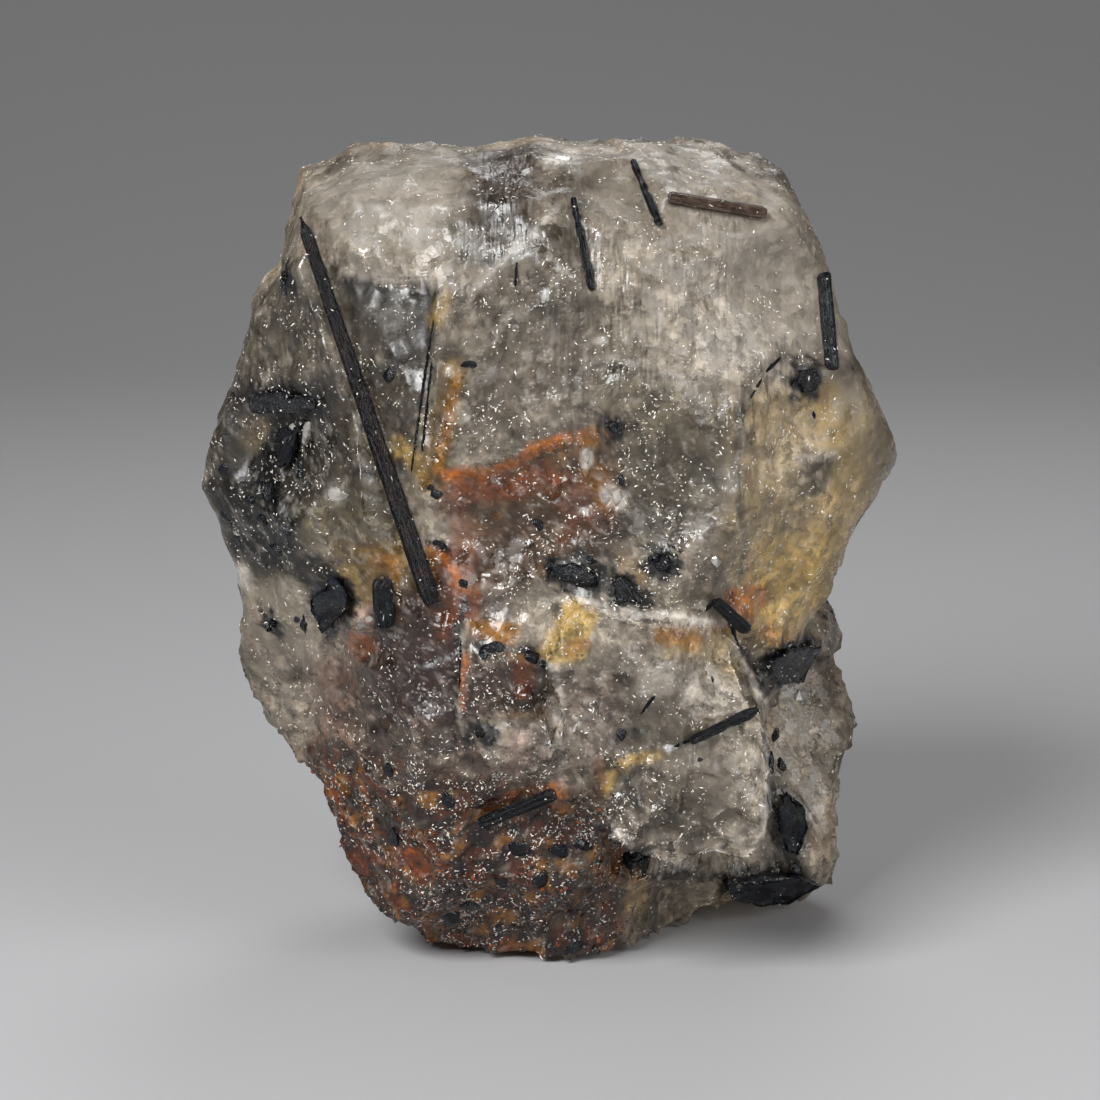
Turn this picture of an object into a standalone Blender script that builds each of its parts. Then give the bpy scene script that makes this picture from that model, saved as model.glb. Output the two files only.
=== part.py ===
"""Tourmalinated quartz: a worn lump of milky quartz that stands on a broken foot, with black tourmaline
crystals set in open grooves and sockets in its surface.

Stone coordinates are millimetres, and MM turns them into Blender's metres. +Z is up, the front faces -Y,
and the origin is on the surface that the stone stands on, under the middle of its box.
"""

import math

import bmesh
import bpy
import numpy as np
from mathutils import Matrix, Vector, noise
from mathutils.bvhtree import BVHTree

MM = 0.001

# Depth of the main body, front to back, and the point inside the stone that its surface is shaped around
DEPTH = 38.0
CORE = Vector((0.0, 6.0, 34.0))
START_REACH = 60.0

# Outline of the main body across its middle, as (x, z), clockwise from the left shoulder
BODY_OUTLINE = (
    (-16.2, 67.4), (-18.2, 66.1), (-20.5, 65.3), (-21.3, 63.5), (-21.8, 61.3), (-22.7, 57.9),
    (-24.8, 55.0), (-25.4, 52.0), (-26.9, 47.2), (-28.1, 43.7), (-28.6, 39.4), (-28.0, 35.4),
    (-26.5, 31.7), (-26.0, 28.7), (-26.8, 24.4), (-26.2, 21.4), (-24.9, 18.5), (-23.1, 15.5), (-21.0, 13.2),
    (-18.6, 10.2), (-16.7, 6.6), (-13.0, 3.9), (-10.9, -0.3), (-7.0, -3.0), (0.0, -4.0),
    (6.0, -3.0), (10.8, -0.4), (14.4, 2.8), (17.4, 6.2), (18.4, 11.0), (19.2, 17.0),
    (20.4, 24.0), (23.3, 29.6), (25.0, 34.2), (27.3, 37.6), (29.0, 39.8), (29.5, 41.6), (29.1, 43.6),
    (28.1, 45.4), (26.4, 48.4), (24.1, 53.4), (22.7, 58.0), (21.5, 60.8), (20.7, 63.3),
    (19.5, 65.5), (17.5, 67.0), (14.7, 67.8), (6.0, 68.4), (0.0, 68.3), (-6.0, 67.8), (-9.0, 68.1),
)
BODY_ROUNDNESS = 4.0

# Lobes grown onto the body: centre, radii and roundness
LOBES = (
    ((15.4, 9.8, 12.4), (11.3, 9.2, 13.6), 2.5),
    ((16.4, 7.5, 25.4), (8.4, 8.0, 4.8), 2.2),
)
LOBE_BLEND = 1.2

# Slabs grown onto the front: closed outline in (x, z), a point on the front face and its outward normal
SLABS = (
    (((0.8, 31.9), (2.2, 33.0), (7.2, 31.7), (13.6, 30.9), (15.7, 27.4), (17.5, 23.4), (17.8, 18.9),
      (17.3, 13.1), (15.7, 11.0), (8.4, 10.8), (4.8, 13.6), (4.0, 16.8), (0.8, 17.2), (-0.2, 24.6),
      (-0.4, 28.7)),
     (9.0, -19.5, 22.0), (0.06, -1.0, -0.05)),
)
SLAB_BLEND = 0.4

# Broken faces: a point on the face, its outward normal, and how softly it meets its neighbours
BREAKS = (
    ((-13.0, -15.4, 61.0), (-0.26, -0.90, 0.34), 1.0),
    ((0.0, -17.6, 58.0), (0.0, -0.95, 0.31), 1.4),
    ((11.0, -16.8, 57.0), (0.20, -0.94, 0.27), 1.4),
    ((0.0, -18.7, 44.0), (-0.02, -1.0, 0.03), 1.6),
    ((-20.0, -13.2, 46.0), (-0.60, -0.80, 0.02), 1.0),
    ((-22.0, -11.5, 37.0), (-0.70, -0.66, -0.24), 1.0),
    ((20.8, -13.4, 46.0), (0.56, -0.82, 0.10), 1.2),
    ((22.6, -10.5, 38.5), (0.66, -0.66, -0.34), 1.0),
    ((-16.5, -15.0, 22.0), (-0.48, -0.86, -0.18), 1.0),
    ((-3.0, -8.4, 0.0), (-0.06, -0.87, -0.49), 1.2),
    ((-12.0, -9.6, 4.0), (-0.60, -0.66, -0.45), 1.0),
    ((7.4, -7.5, 0.9), (0.46, -0.46, -0.76), 0.8),
    ((17.6, -12.0, 18.0), (0.88, -0.38, -0.28), 0.8),
    ((0.0, -10.5, 66.6), (0.0, -0.40, 0.92), 1.4),
    ((14.0, -6.0, 66.4), (0.30, -0.28, 0.91), 1.2),
    ((-12.0, 17.5, 48.0), (-0.34, 0.93, 0.12), 0.9),
    ((12.0, 17.0, 46.0), (0.42, 0.88, 0.20), 0.9),
    ((2.0, 18.4, 22.0), (0.06, 0.99, -0.10), 0.8),
    ((-20.5, 11.5, 26.0), (-0.80, 0.58, -0.14), 0.9),
    ((-6.0, 12.0, 61.0), (-0.10, 0.70, 0.70), 1.2),
    ((-4.0, 15.0, 5.0), (-0.10, 0.80, -0.58), 1.0),
)

# Steps on the front: the line of the ledge as (x, z) from left to right, the drop below it, how far down it
# takes to fade away, and how far in from each end it is at its full depth
LEDGES = (
    (((-17.4, 60.5), (-15.8, 59.6), (-13.0, 59.2), (-9.0, 58.6)), 1.5, 11.0, 3.5, 0.8),
    (((4.0, 53.0), (7.6, 52.8), (11.0, 51.6), (15.2, 49.6)), 1.0, 12.0, 4.5, 2.5),
    (((-8.6, 42.6), (-4.2, 43.8), (1.0, 45.4), (4.8, 46.8)), 1.1, 9.0, 4.0, 3.5),
    (((-29.0, 34.6), (-23.0, 33.4), (-18.4, 34.0), (-15.0, 31.4)), 0.9, 8.0, 2.0, 3.5),
)
LEDGE_EDGE = 0.35

# Blocks that stand proud of the front: closed outline in (x, z), and the rise at its left and its right
BLOCKS = (
    (((-5.6, 26.0), (-1.4, 26.0), (0.4, 22.5), (0.8, 17.2), (-3.8, 15.0), (-7.0, 16.2), (-6.6, 21.0)),
     0.3, 0.8),
)
BLOCK_EDGE = 0.45

# Pits and hollows on the front: (x, z), radii across and up, and depth
PITS = (
    ((6.9, 9.9), (1.5, 1.2), 1.8),
    ((-13.6, 50.4), (1.6, 1.0), 0.7),
    ((-22.6, 43.4), (3.4, 3.8), 1.5),
    ((-14.8, 28.6), (1.6, 1.4), 0.9),
    ((9.9, 41.0), (3.2, 4.0), 0.7),
    ((19.8, 38.8), (1.6, 3.0), 0.6),
    ((-3.4, 34.0), (4.6, 4.8), 0.6),
    ((13.2, 61.0), (3.6, 0.6), 0.7),
)

# Skin of the break: dished scallops with sharp ridges between them, in three sizes, and slow waves. Each is
# a size and a height. They count by SMOOTH_SHARE on the worn top, and by ROUGH_SHARE on the hackly foot.
WAVES = (11.0, 0.7)
SCALLOPS = ((10.0, 2.4), (5.0, 1.1), (2.4, 0.45))
ROUGH_TOP, ROUGH_BOTTOM = 34.0, 16.0
SMOOTH_SHARE, ROUGH_SHARE = 0.6, 1.25
FRONT_FROM, FRONT_FULL = -3.0, -9.0

SPHERE_LEVEL = 7
QUARTZ_FACES = 6400
SETTLE_STEPS, SETTLE_SHARE = 70, 0.7
GAP = 0.35
RIDGE_DEPTH, RIDGE_STEP = 0.14, 4.0

# Tourmaline rods that lie in open troughs: name, foot, tip, radii there, and number of sides
RODS = (
    ("long_needle", (-9.4, -18.3, 32.6), (-19.9, -12.3, 62.9), 0.84, 0.50, 9),
    ("right_rod", (22.7, -11.6, 50.6), (22.2, -7.6, 57.8), 0.62, 0.62, 9),
    ("top_needle", (8.6, -15.4, 62.6), (6.6, -8.8, 67.2), 0.38, 0.32, 6),
    ("centre_needle", (3.3, -17.9, 57.7), (1.8, -14.6, 64.6), 0.40, 0.32, 6),
    ("brown_rod", (9.4, -13.8, 64.6), (17.2, -11.6, 63.1), 0.52, 0.52, 8),
    ("inner_stub", (-13.2, -17.7, 30.6), (-13.4, -17.7, 34.5), 0.80, 0.85, 8),
    ("slab_rod", (13.3, -16.9, 32.5), (15.8, -14.5, 29.8), 0.55, 0.60, 8),
    ("slab_needle", (11.2, -20.2, 21.9), (16.6, -18.3, 24.0), 0.42, 0.50, 7),
    ("foot_bar", (-5.7, -15.6, 13.9), (0.4, -17.2, 16.8), 0.55, 0.60, 7),
)
TROUGH_SLOPE = 0.8
TROUGH_FLOOR = 0.15

# Tourmaline chunks set in the surface: name, corners of the visible face as (x, z), how far the face stands
# out of the skin, and how deep the chunk goes
CHUNKS = (
    ("left_bar", ((-24.5, 48.3), (-21.3, 49.0), (-18.6, 48.5), (-18.6, 47.4), (-21.4, 46.8),
                  (-24.2, 46.8)), 0.4, 2.0),
    ("left_leg", ((-21.9, 45.8), (-20.1, 46.1), (-20.3, 44.6), (-21.0, 42.4), (-22.1, 42.2),
                  (-22.7, 43.5)), 0.4, 2.0),
    ("left_foot", ((-23.7, 41.3), (-22.5, 41.3), (-22.4, 39.8), (-23.3, 39.6)), 0.3, 1.4),
    ("left_chunk", ((-17.2, 34.5), (-16.0, 33.0), (-16.0, 31.8), (-18.3, 28.6), (-19.5, 30.8), (-19.6, 32.0),
                    (-18.7, 32.8)), 0.6, 2.6),
    ("centre_bar", ((-0.2, 35.7), (2.0, 36.1), (4.0, 35.2), (4.0, 33.7), (2.2, 33.9),
                    (0.2, 34.6)), 0.4, 2.2),
    ("centre_chunk", ((4.8, 34.9), (5.9, 34.9), (7.6, 33.3), (7.2, 32.6), (5.0, 32.9)), 0.4, 2.0),
    ("right_wedge", ((17.5, 26.0), (18.3, 26.2), (19.5, 27.0), (21.7, 25.8), (22.8, 25.3), (21.7, 21.2),
                     (20.4, 23.0), (18.7, 23.8), (18.0, 25.2)), 0.5, 2.4),
    ("edge_crystal", ((20.0, 12.6), (21.6, 11.6), (22.1, 9.0), (21.4, 6.6), (19.9, 7.4),
                      (19.2, 11.2)), 0.6, 2.2),
    ("base_crystal", ((14.6, 5.4), (18.0, 5.2), (21.5, 5.0), (23.3, 3.6), (20.8, 1.6), (18.3, 1.4),
                      (15.2, 3.4)), 0.5, 3.0),
)
CHUNK_TAPER = 0.7

# Tourmaline crystals that stand end-on in the surface: name, (x, z), radius, length, how far they stand out
KNOBS = (
    ("right_knob", (20.7, 49.8), 1.18, 3.6, 0.35),
    ("centre_knob", (8.9, 36.1), 1.05, 3.0, 0.25),
    ("orange_knob", (5.1, 46.8), 0.62, 2.4, 0.20),
    ("upper_left_knob", (-21.6, 58.0), 0.80, 2.6, 0.20),
    ("lower_left_knob", (-23.4, 28.3), 0.62, 2.4, 0.20),
    ("lower_knob", (-5.6, 22.2), 0.62, 2.4, 0.20),
)

# Colours
MILKY = (0.62, 0.56, 0.48)
BLACK = (0.012, 0.011, 0.014)
BROWN = (0.075, 0.045, 0.032)
BROWN_CRYSTALS = ("brown_rod", "long_needle")


def polar_outline(outline, centre, steps=1440):
    """The distance from the centre to a star-shaped outline, at evenly spaced angles."""
    angles = np.linspace(-math.pi, math.pi, steps + 1)
    points = np.array(outline) - np.array(centre)
    starts, ends = points, np.roll(points, -1, axis=0)
    ray_x, ray_z = np.cos(angles)[:, None], np.sin(angles)[:, None]
    edge = ends - starts
    turn = ray_x * edge[:, 1] - ray_z * edge[:, 0]
    turn = np.where(np.abs(turn) < 1e-9, 1e-9, turn)
    along_ray = (starts[:, 0] * edge[:, 1] - starts[:, 1] * edge[:, 0]) / turn
    along_edge = (starts[:, 0] * ray_z - starts[:, 1] * ray_x) / turn
    hit = (along_edge >= 0) & (along_edge <= 1) & (along_ray > 0)
    return angles, np.where(hit, along_ray, 0).max(axis=1)


def smooth_least(a, b, blend):
    """The lesser of two fields, rounded where they meet. It joins two shapes."""
    share = np.clip(0.5 + 0.5 * (b - a) / blend, 0, 1)
    return b + (a - b) * share - blend * share * (1 - share)


def smooth_most(a, b, blend):
    """The greater of two fields, rounded where they meet. It cuts one shape by another."""
    return -smooth_least(-a, -b, blend)


def fade(value, low, high):
    share = np.clip((value - low) / (high - low), 0, 1)
    return share * share * (3 - 2 * share)


def body_field(points, angles, reaches):
    """Rough distance outside the main body, in millimetres, negative inside it."""
    x, y, z = points[:, 0], points[:, 1], points[:, 2] - CORE.z
    across = np.hypot(x, z) + 1e-9
    reach = np.interp(np.arctan2(z, x), angles, reaches)
    ratio = ((across / reach) ** BODY_ROUNDNESS
             + (np.abs(y) / (DEPTH / 2)) ** BODY_ROUNDNESS) ** (1 / BODY_ROUNDNESS)
    return (1 - 1 / ratio) * np.sqrt(across**2 + y**2)


def lobe_field(points, centre, radii, roundness):
    offset = points - np.array(centre)
    distance = np.linalg.norm(offset, axis=1) + 1e-9
    ratio = (np.abs(offset / np.array(radii)) ** roundness).sum(axis=1) ** (1 / roundness) + 1e-9
    return distance - distance / ratio


def outline_distance(x, z, outline, closed):
    """Distance from points to a chain of edges, and whether each is inside it, or below it if it is open."""
    chain = list(outline) + [outline[0]] if closed else list(outline)
    nearest = np.full(len(x), 1e9)
    inside = np.zeros(len(x), bool)
    for (ax, az), (bx, bz) in zip(chain, chain[1:]):
        edge_x, edge_z = bx - ax, bz - az
        share = np.clip(((x - ax) * edge_x + (z - az) * edge_z) / (edge_x**2 + edge_z**2), 0, 1)
        nearest = np.minimum(nearest, np.hypot(x - ax - share * edge_x, z - az - share * edge_z))
        if closed:
            rising = (az > z) != (bz > z)
            crossing = ax + (z - az) * edge_x / np.where(edge_z == 0, 1e-9, edge_z)
            inside ^= rising & (x < crossing)
        else:
            inside |= (x >= ax) & (x < bx) & (z < az + (x - ax) * edge_z / edge_x)
    return nearest, inside


def front_relief(x, z):
    """How far the front stands out from the plain form, in millimetres, at each (x, z)."""
    rise = np.zeros(len(x))
    for line, drop, reach, left_in, right_in in LEDGES:
        distance, below = outline_distance(x, z, line, closed=False)
        left, right = line[0][0], line[-1][0]
        sides = fade(x, left, left + left_in) * fade(-x, -right, right_in - right)
        rise -= drop * below * sides * fade(distance, 0, LEDGE_EDGE) * np.exp(-((distance / reach) ** 2))
    for outline, left_rise, right_rise in BLOCKS:
        distance, inside = outline_distance(x, z, outline, closed=True)
        left = min(corner[0] for corner in outline)
        right = max(corner[0] for corner in outline)
        height = left_rise + (right_rise - left_rise) * (x - left) / (right - left)
        rise += height * inside * fade(distance, 0, BLOCK_EDGE)
    for (pit_x, pit_z), (wide, tall), depth in PITS:
        spread = ((x - pit_x) / wide) ** 2 + ((z - pit_z) / tall) ** 2
        rise -= depth * np.exp(-(spread**2))
    return rise


def trough_field(points, foot, tip, foot_radius, tip_radius):
    """Positive in front of a rod's upper half and of the slopes beside it, so that the rod lies open."""
    foot, tip = np.array(foot), np.array(tip)
    run = (tip - foot)[[0, 2]]
    share = np.clip((points[:, [0, 2]] - foot[[0, 2]]) @ run / (run @ run), 0, 1)
    axis = foot + share[:, None] * (tip - foot)
    radius = foot_radius + share * (tip_radius - foot_radius)
    aside = np.hypot(points[:, 0] - axis[:, 0], points[:, 2] - axis[:, 2])
    floor = axis[:, 1] - TROUGH_FLOOR * radius - TROUGH_SLOPE * np.maximum(0, aside - radius)
    return (floor - points[:, 1]) * 0.75


def stone_field(points, angles, reaches, skin):
    """Rough distance outside the stone. skin is the height of the surface noise on each point's ray."""
    field = body_field(points, angles, reaches)
    for place, normal, blend in BREAKS:
        unit = np.array(normal) / np.linalg.norm(normal)
        field = smooth_most(field, (points - np.array(place)) @ unit, blend)
    for centre, radii, roundness in LOBES:
        field = smooth_least(field, lobe_field(points, centre, radii, roundness), LOBE_BLEND)
    for outline, place, normal in SLABS:
        nearest, inside = outline_distance(points[:, 0], points[:, 2], outline, closed=True)
        unit = np.array(normal) / np.linalg.norm(normal)
        face = (points - np.array(place)) @ unit
        slab = smooth_most(np.where(inside, -nearest, nearest), face, SLAB_BLEND)
        field = smooth_least(field, np.maximum(slab, points[:, 1]), SLAB_BLEND)
    front = fade(-points[:, 1], -FRONT_FROM, -FRONT_FULL)
    field = field - front * front_relief(points[:, 0], points[:, 2]) - skin
    for _, foot, tip, foot_radius, tip_radius, _ in RODS:
        field = smooth_most(field, trough_field(points, foot, tip, foot_radius, tip_radius), 0.3)
    return np.maximum(field, -points[:, 2])


def skin_noise(place):
    """Height of the broken skin at a place, in millimetres."""
    size, height = WAVES
    total = noise.fractal(place / size, 1.0, 2.0, 2) * height
    rough = min(1.0, max(0.0, (ROUGH_TOP - place.z) / (ROUGH_TOP - ROUGH_BOTTOM)))
    share = SMOOTH_SHARE + (ROUGH_SHARE - SMOOTH_SHARE) * rough
    for size, height in SCALLOPS:
        nearest = noise.voronoi(place / size, distance_metric="DISTANCE_SQUARED")[0][0]
        total += (nearest - 0.3) * height * share
    return total


def settled_points(rays):
    """Where each ray from the core last leaves the stone: it comes in until the field is zero."""
    angles, reaches = polar_outline(BODY_OUTLINE, (0.0, CORE.z))
    core = np.array(CORE)
    reach = np.full(len(rays), START_REACH)
    skin = np.zeros(len(rays))
    for step in range(SETTLE_STEPS):
        points = core + rays * reach[:, None]
        if step == SETTLE_STEPS // 2:
            skin = np.array([skin_noise(Vector(point)) for point in points])
        reach -= SETTLE_SHARE * stone_field(points, angles, reaches, skin)
    points = core + rays * reach[:, None]
    points[:, 2] = np.maximum(points[:, 2], 0.0)
    return points


def clear_scene():
    for old in list(bpy.data.objects):
        bpy.data.objects.remove(old, do_unlink=True)


def new_collection(name):
    made = bpy.data.collections.new(name)
    bpy.context.scene.collection.children.link(made)
    return made


def plain_material(name, colour, roughness, metallic=0.0, transmission=0.0):
    material = bpy.data.materials.new(name)
    material.use_nodes = True
    shader = material.node_tree.nodes["Principled BSDF"]
    shader.inputs["Base Color"].default_value = (*colour, 1.0)
    shader.inputs["Roughness"].default_value = roughness
    shader.inputs["Metallic"].default_value = metallic
    shader.inputs["Transmission Weight"].default_value = transmission
    return material


def linked_object(name, mesh, collection, material=None):
    made = bpy.data.objects.new(name, mesh)
    collection.objects.link(made)
    if material is not None:
        mesh.materials.append(material)
    return made


def evaluated_copy(source, name, collection, material):
    """A plain mesh object with the source's modifiers worked in. The source is removed."""
    graph = bpy.context.evaluated_depsgraph_get()
    mesh = bpy.data.meshes.new_from_object(source.evaluated_get(graph))
    bpy.data.objects.remove(source, do_unlink=True)
    mesh.materials.clear()
    made = linked_object(name, mesh, collection, material)
    return made


def quartz_lump(collection, material):
    """The stone without its sockets: a sphere shaped ray by ray, then thinned to few faces."""
    mesh = bpy.data.meshes.new("quartz_lump")
    shape = bmesh.new()
    bmesh.ops.create_icosphere(shape, subdivisions=SPHERE_LEVEL, radius=1.0)
    rays = np.array([vertex.co.normalized() for vertex in shape.verts])
    for vertex, point in zip(shape.verts, settled_points(rays)):
        vertex.co = Vector(point) * MM
    shape.to_mesh(mesh)
    shape.free()
    lump = linked_object("quartz_lump", mesh, collection)
    thin = lump.modifiers.new("Thin", "DECIMATE")
    thin.ratio = QUARTZ_FACES / len(mesh.polygons)
    bpy.context.view_layer.update()
    return evaluated_copy(lump, "quartz", collection, material)


def front_skin(tree, x, z):
    """The point and outward normal of the front at (x, z), both in millimetres."""
    place, normal, _, _ = tree.ray_cast(Vector((x, -DEPTH * 2, z)) * MM, Vector((0, 1, 0)))
    return place / MM, normal


def new_solid(name, shape, collection, material):
    mesh = bpy.data.meshes.new(name)
    shape.to_mesh(mesh)
    shape.free()
    return linked_object(name, mesh, collection, material)


def prism(name, start, end, radii, sides, collection, material=None, grow=0.0, seed=0):
    """A tourmaline crystal from start to end. Unless it is a grown cutter, its sides are ridged."""
    axis = end - start
    shape = bmesh.new()
    bmesh.ops.create_cone(shape, cap_ends=True, segments=sides * 2, radius1=radii[0] + grow,
                          radius2=radii[1] + grow, depth=axis.length + 2 * grow)
    if grow == 0.0:
        long_edges = [edge for edge in shape.edges if edge.verts[0].co.z * edge.verts[1].co.z < 0]
        bmesh.ops.subdivide_edges(shape, edges=long_edges, cuts=max(1, int(axis.length / RIDGE_STEP)))
        for vertex in shape.verts:
            angle = math.atan2(vertex.co.y, vertex.co.x)
            bulge = noise.noise(Vector((seed * 7.3, math.cos(angle), vertex.co.z * 0.5 + math.sin(angle))))
            share = 1.0 - RIDGE_DEPTH * (0.5 - 0.5 * math.cos(sides * angle)) + RIDGE_DEPTH * 0.6 * bulge
            vertex.co.x *= share
            vertex.co.y *= share
    turn = axis.to_track_quat("Z", "Y").to_matrix().to_4x4()
    middle = Matrix.Translation((start + end) / 2)
    bmesh.ops.transform(shape, matrix=Matrix.Scale(MM, 4) @ middle @ turn, verts=shape.verts)
    return new_solid(name, shape, collection, material)


def chunk_corners(tree, outline, proud, depth):
    """The corners of a chunk: its face stands out of the skin, and its smaller back is in the stone."""
    faces, backs = [], []
    for x, z in outline:
        place, normal = front_skin(tree, x, z)
        faces.append(place + normal * proud)
        backs.append(place - normal * depth)
    middle = sum(backs, Vector()) / len(backs)
    return faces + [middle + (corner - middle) * CHUNK_TAPER for corner in backs]


def chunk(name, corners, collection, material=None, grow=0.0):
    """The convex solid on the corners, in millimetres. A cutter is the same solid grown about its middle."""
    middle = sum(corners, Vector()) / len(corners)
    shape = bmesh.new()
    for corner in corners:
        bmesh.ops.create_vert(shape, co=corner)
    hull = bmesh.ops.convex_hull(shape, input=shape.verts)
    spare = [item for item in hull["geom_interior"] if isinstance(item, bmesh.types.BMVert)]
    bmesh.ops.delete(shape, geom=spare, context="VERTS")
    shape.normal_update()
    reach = min((face.verts[0].co - middle).dot(face.normal) for face in shape.faces)
    scale = 1.0 + grow / reach
    for vertex in shape.verts:
        vertex.co = (middle + (vertex.co - middle) * scale) * MM
    return new_solid(name, shape, collection, material)


def tourmaline_material(name):
    colour = BROWN if name in BROWN_CRYSTALS else BLACK
    return plain_material("Tourmaline " + name, colour, 0.25)


def crystals(tree, collection, helpers):
    """Makes every crystal and yields the cutter of its socket."""
    for seed, (name, foot, tip, foot_radius, tip_radius, sides) in enumerate(RODS):
        ends = Vector(foot), Vector(tip), (foot_radius, tip_radius), sides
        prism(name, *ends, collection, tourmaline_material(name), seed=seed)
        yield prism(name + "_cutter", *ends, helpers, grow=GAP)
    for seed, (name, (x, z), radius, length, proud) in enumerate(KNOBS):
        place, normal = front_skin(tree, x, z)
        ends = place - normal * (length - proud), place + normal * proud, (radius, radius), 6
        prism(name, *ends, collection, tourmaline_material(name), seed=seed + len(RODS))
        yield prism(name + "_cutter", *ends, helpers, grow=GAP)
    for name, outline, proud, depth in CHUNKS:
        corners = chunk_corners(tree, outline, proud, depth)
        chunk(name, corners, collection, tourmaline_material(name))
        yield chunk(name + "_cutter", corners, helpers, grow=GAP)


def cut_socket(quartz, cutter):
    cut = quartz.modifiers.new("Socket " + cutter.name, "BOOLEAN")
    cut.operation = "DIFFERENCE"
    cut.solver = "EXACT"
    cut.object = cutter


def main():
    clear_scene()
    stone = new_collection("Tourmalinated quartz")
    helpers = new_collection("Cutters")
    quartz = quartz_lump(stone, plain_material("Milky quartz", MILKY, 0.35, transmission=0.5))
    skin = bmesh.new()
    skin.from_mesh(quartz.data)
    tree = BVHTree.FromBMesh(skin)
    skin.free()
    for cutter in crystals(tree, stone, helpers):
        cutter.hide_render = True
        cutter.display_type = "WIRE"
        cut_socket(quartz, cutter)
    for made in stone.objects:
        made.data.shade_smooth()
        made.data.set_sharp_from_angle(angle=math.radians(32))


main()
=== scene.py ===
"""Tourmalinated quartz: the finished look of a worn lump of milky quartz with black tourmaline in its skin.

The stone's own numbers are millimetres in the part's frame, and MM turns them into Blender's metres. Places
on the broad front are given as (across, down) on the photographed view, which is 1100 units wide and high.
"""

import math

import bmesh
import bpy
import numpy as np
from bpy.props import FloatProperty, FloatVectorProperty, IntProperty, PointerProperty
from mathutils import Matrix, Vector, noise
from mathutils.bvhtree import BVHTree


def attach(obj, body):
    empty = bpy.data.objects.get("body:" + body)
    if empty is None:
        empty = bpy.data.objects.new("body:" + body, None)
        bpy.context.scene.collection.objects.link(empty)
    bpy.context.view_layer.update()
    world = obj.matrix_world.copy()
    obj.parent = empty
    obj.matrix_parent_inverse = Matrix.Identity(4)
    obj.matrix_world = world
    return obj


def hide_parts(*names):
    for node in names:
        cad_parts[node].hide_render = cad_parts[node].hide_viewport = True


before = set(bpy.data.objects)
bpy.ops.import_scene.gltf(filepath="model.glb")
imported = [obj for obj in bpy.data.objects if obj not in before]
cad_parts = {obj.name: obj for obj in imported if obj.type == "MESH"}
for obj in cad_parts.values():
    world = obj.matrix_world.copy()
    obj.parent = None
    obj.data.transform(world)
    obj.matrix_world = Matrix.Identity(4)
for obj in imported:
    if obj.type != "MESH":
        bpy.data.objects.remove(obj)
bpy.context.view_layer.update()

bl_info = {
    "name": "Tourmalinated quartz",
    "version": (1, 0, 0),
    "blender": (4, 5, 0),
    "location": "3D View > Sidebar > Quartz",
    "description": "Builds a lump of milky quartz with black tourmaline crystals, stains and sugary grains",
    "category": "Object",
}

MM = 0.001

# The stone's form, as in the solids: depth, the point it is shaped around, and the outline of its body
DEPTH = 38.0
CORE = Vector((0.0, 6.0, 34.0))
START_REACH = 60.0
BODY_OUTLINE = (
    (-16.2, 67.4), (-18.2, 66.1), (-20.5, 65.3), (-21.3, 63.5), (-21.8, 61.3), (-22.7, 57.9),
    (-24.8, 55.0), (-25.4, 52.0), (-26.9, 47.2), (-28.1, 43.7), (-28.6, 39.4), (-28.0, 35.4),
    (-26.5, 31.7), (-26.0, 28.7), (-26.8, 24.4), (-26.2, 21.4), (-24.9, 18.5), (-23.1, 15.5), (-21.0, 13.2),
    (-18.6, 10.2), (-16.7, 6.6), (-13.0, 3.9), (-10.9, -0.3), (-7.0, -3.0), (0.0, -4.0),
    (6.0, -3.0), (10.8, -0.4), (14.4, 2.8), (17.4, 6.2), (18.4, 11.0), (19.2, 17.0),
    (20.4, 24.0), (23.3, 29.6), (25.0, 34.2), (27.3, 37.6), (29.0, 39.8), (29.5, 41.6), (29.1, 43.6),
    (28.1, 45.4), (26.4, 48.4), (24.1, 53.4), (22.7, 58.0), (21.5, 60.8), (20.7, 63.3),
    (19.5, 65.5), (17.5, 67.0), (14.7, 67.8), (6.0, 68.4), (0.0, 68.3), (-6.0, 67.8), (-9.0, 68.1),
)
BODY_ROUNDNESS = 4.0
LOBES = (
    ((15.4, 9.8, 12.4), (11.3, 9.2, 13.6), 2.5),
    ((16.4, 7.5, 25.4), (8.4, 8.0, 4.8), 2.2),
)
LOBE_BLEND = 1.2
SLABS = (
    (((0.8, 31.9), (2.2, 33.0), (7.2, 31.7), (13.6, 30.9), (15.7, 27.4), (17.5, 23.4), (17.8, 18.9),
      (17.3, 13.1), (15.7, 11.0), (8.4, 10.8), (4.8, 13.6), (4.0, 16.8), (0.8, 17.2), (-0.2, 24.6),
      (-0.4, 28.7)),
     (9.0, -19.5, 22.0), (0.06, -1.0, -0.05)),
)
SLAB_BLEND = 0.4
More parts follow.
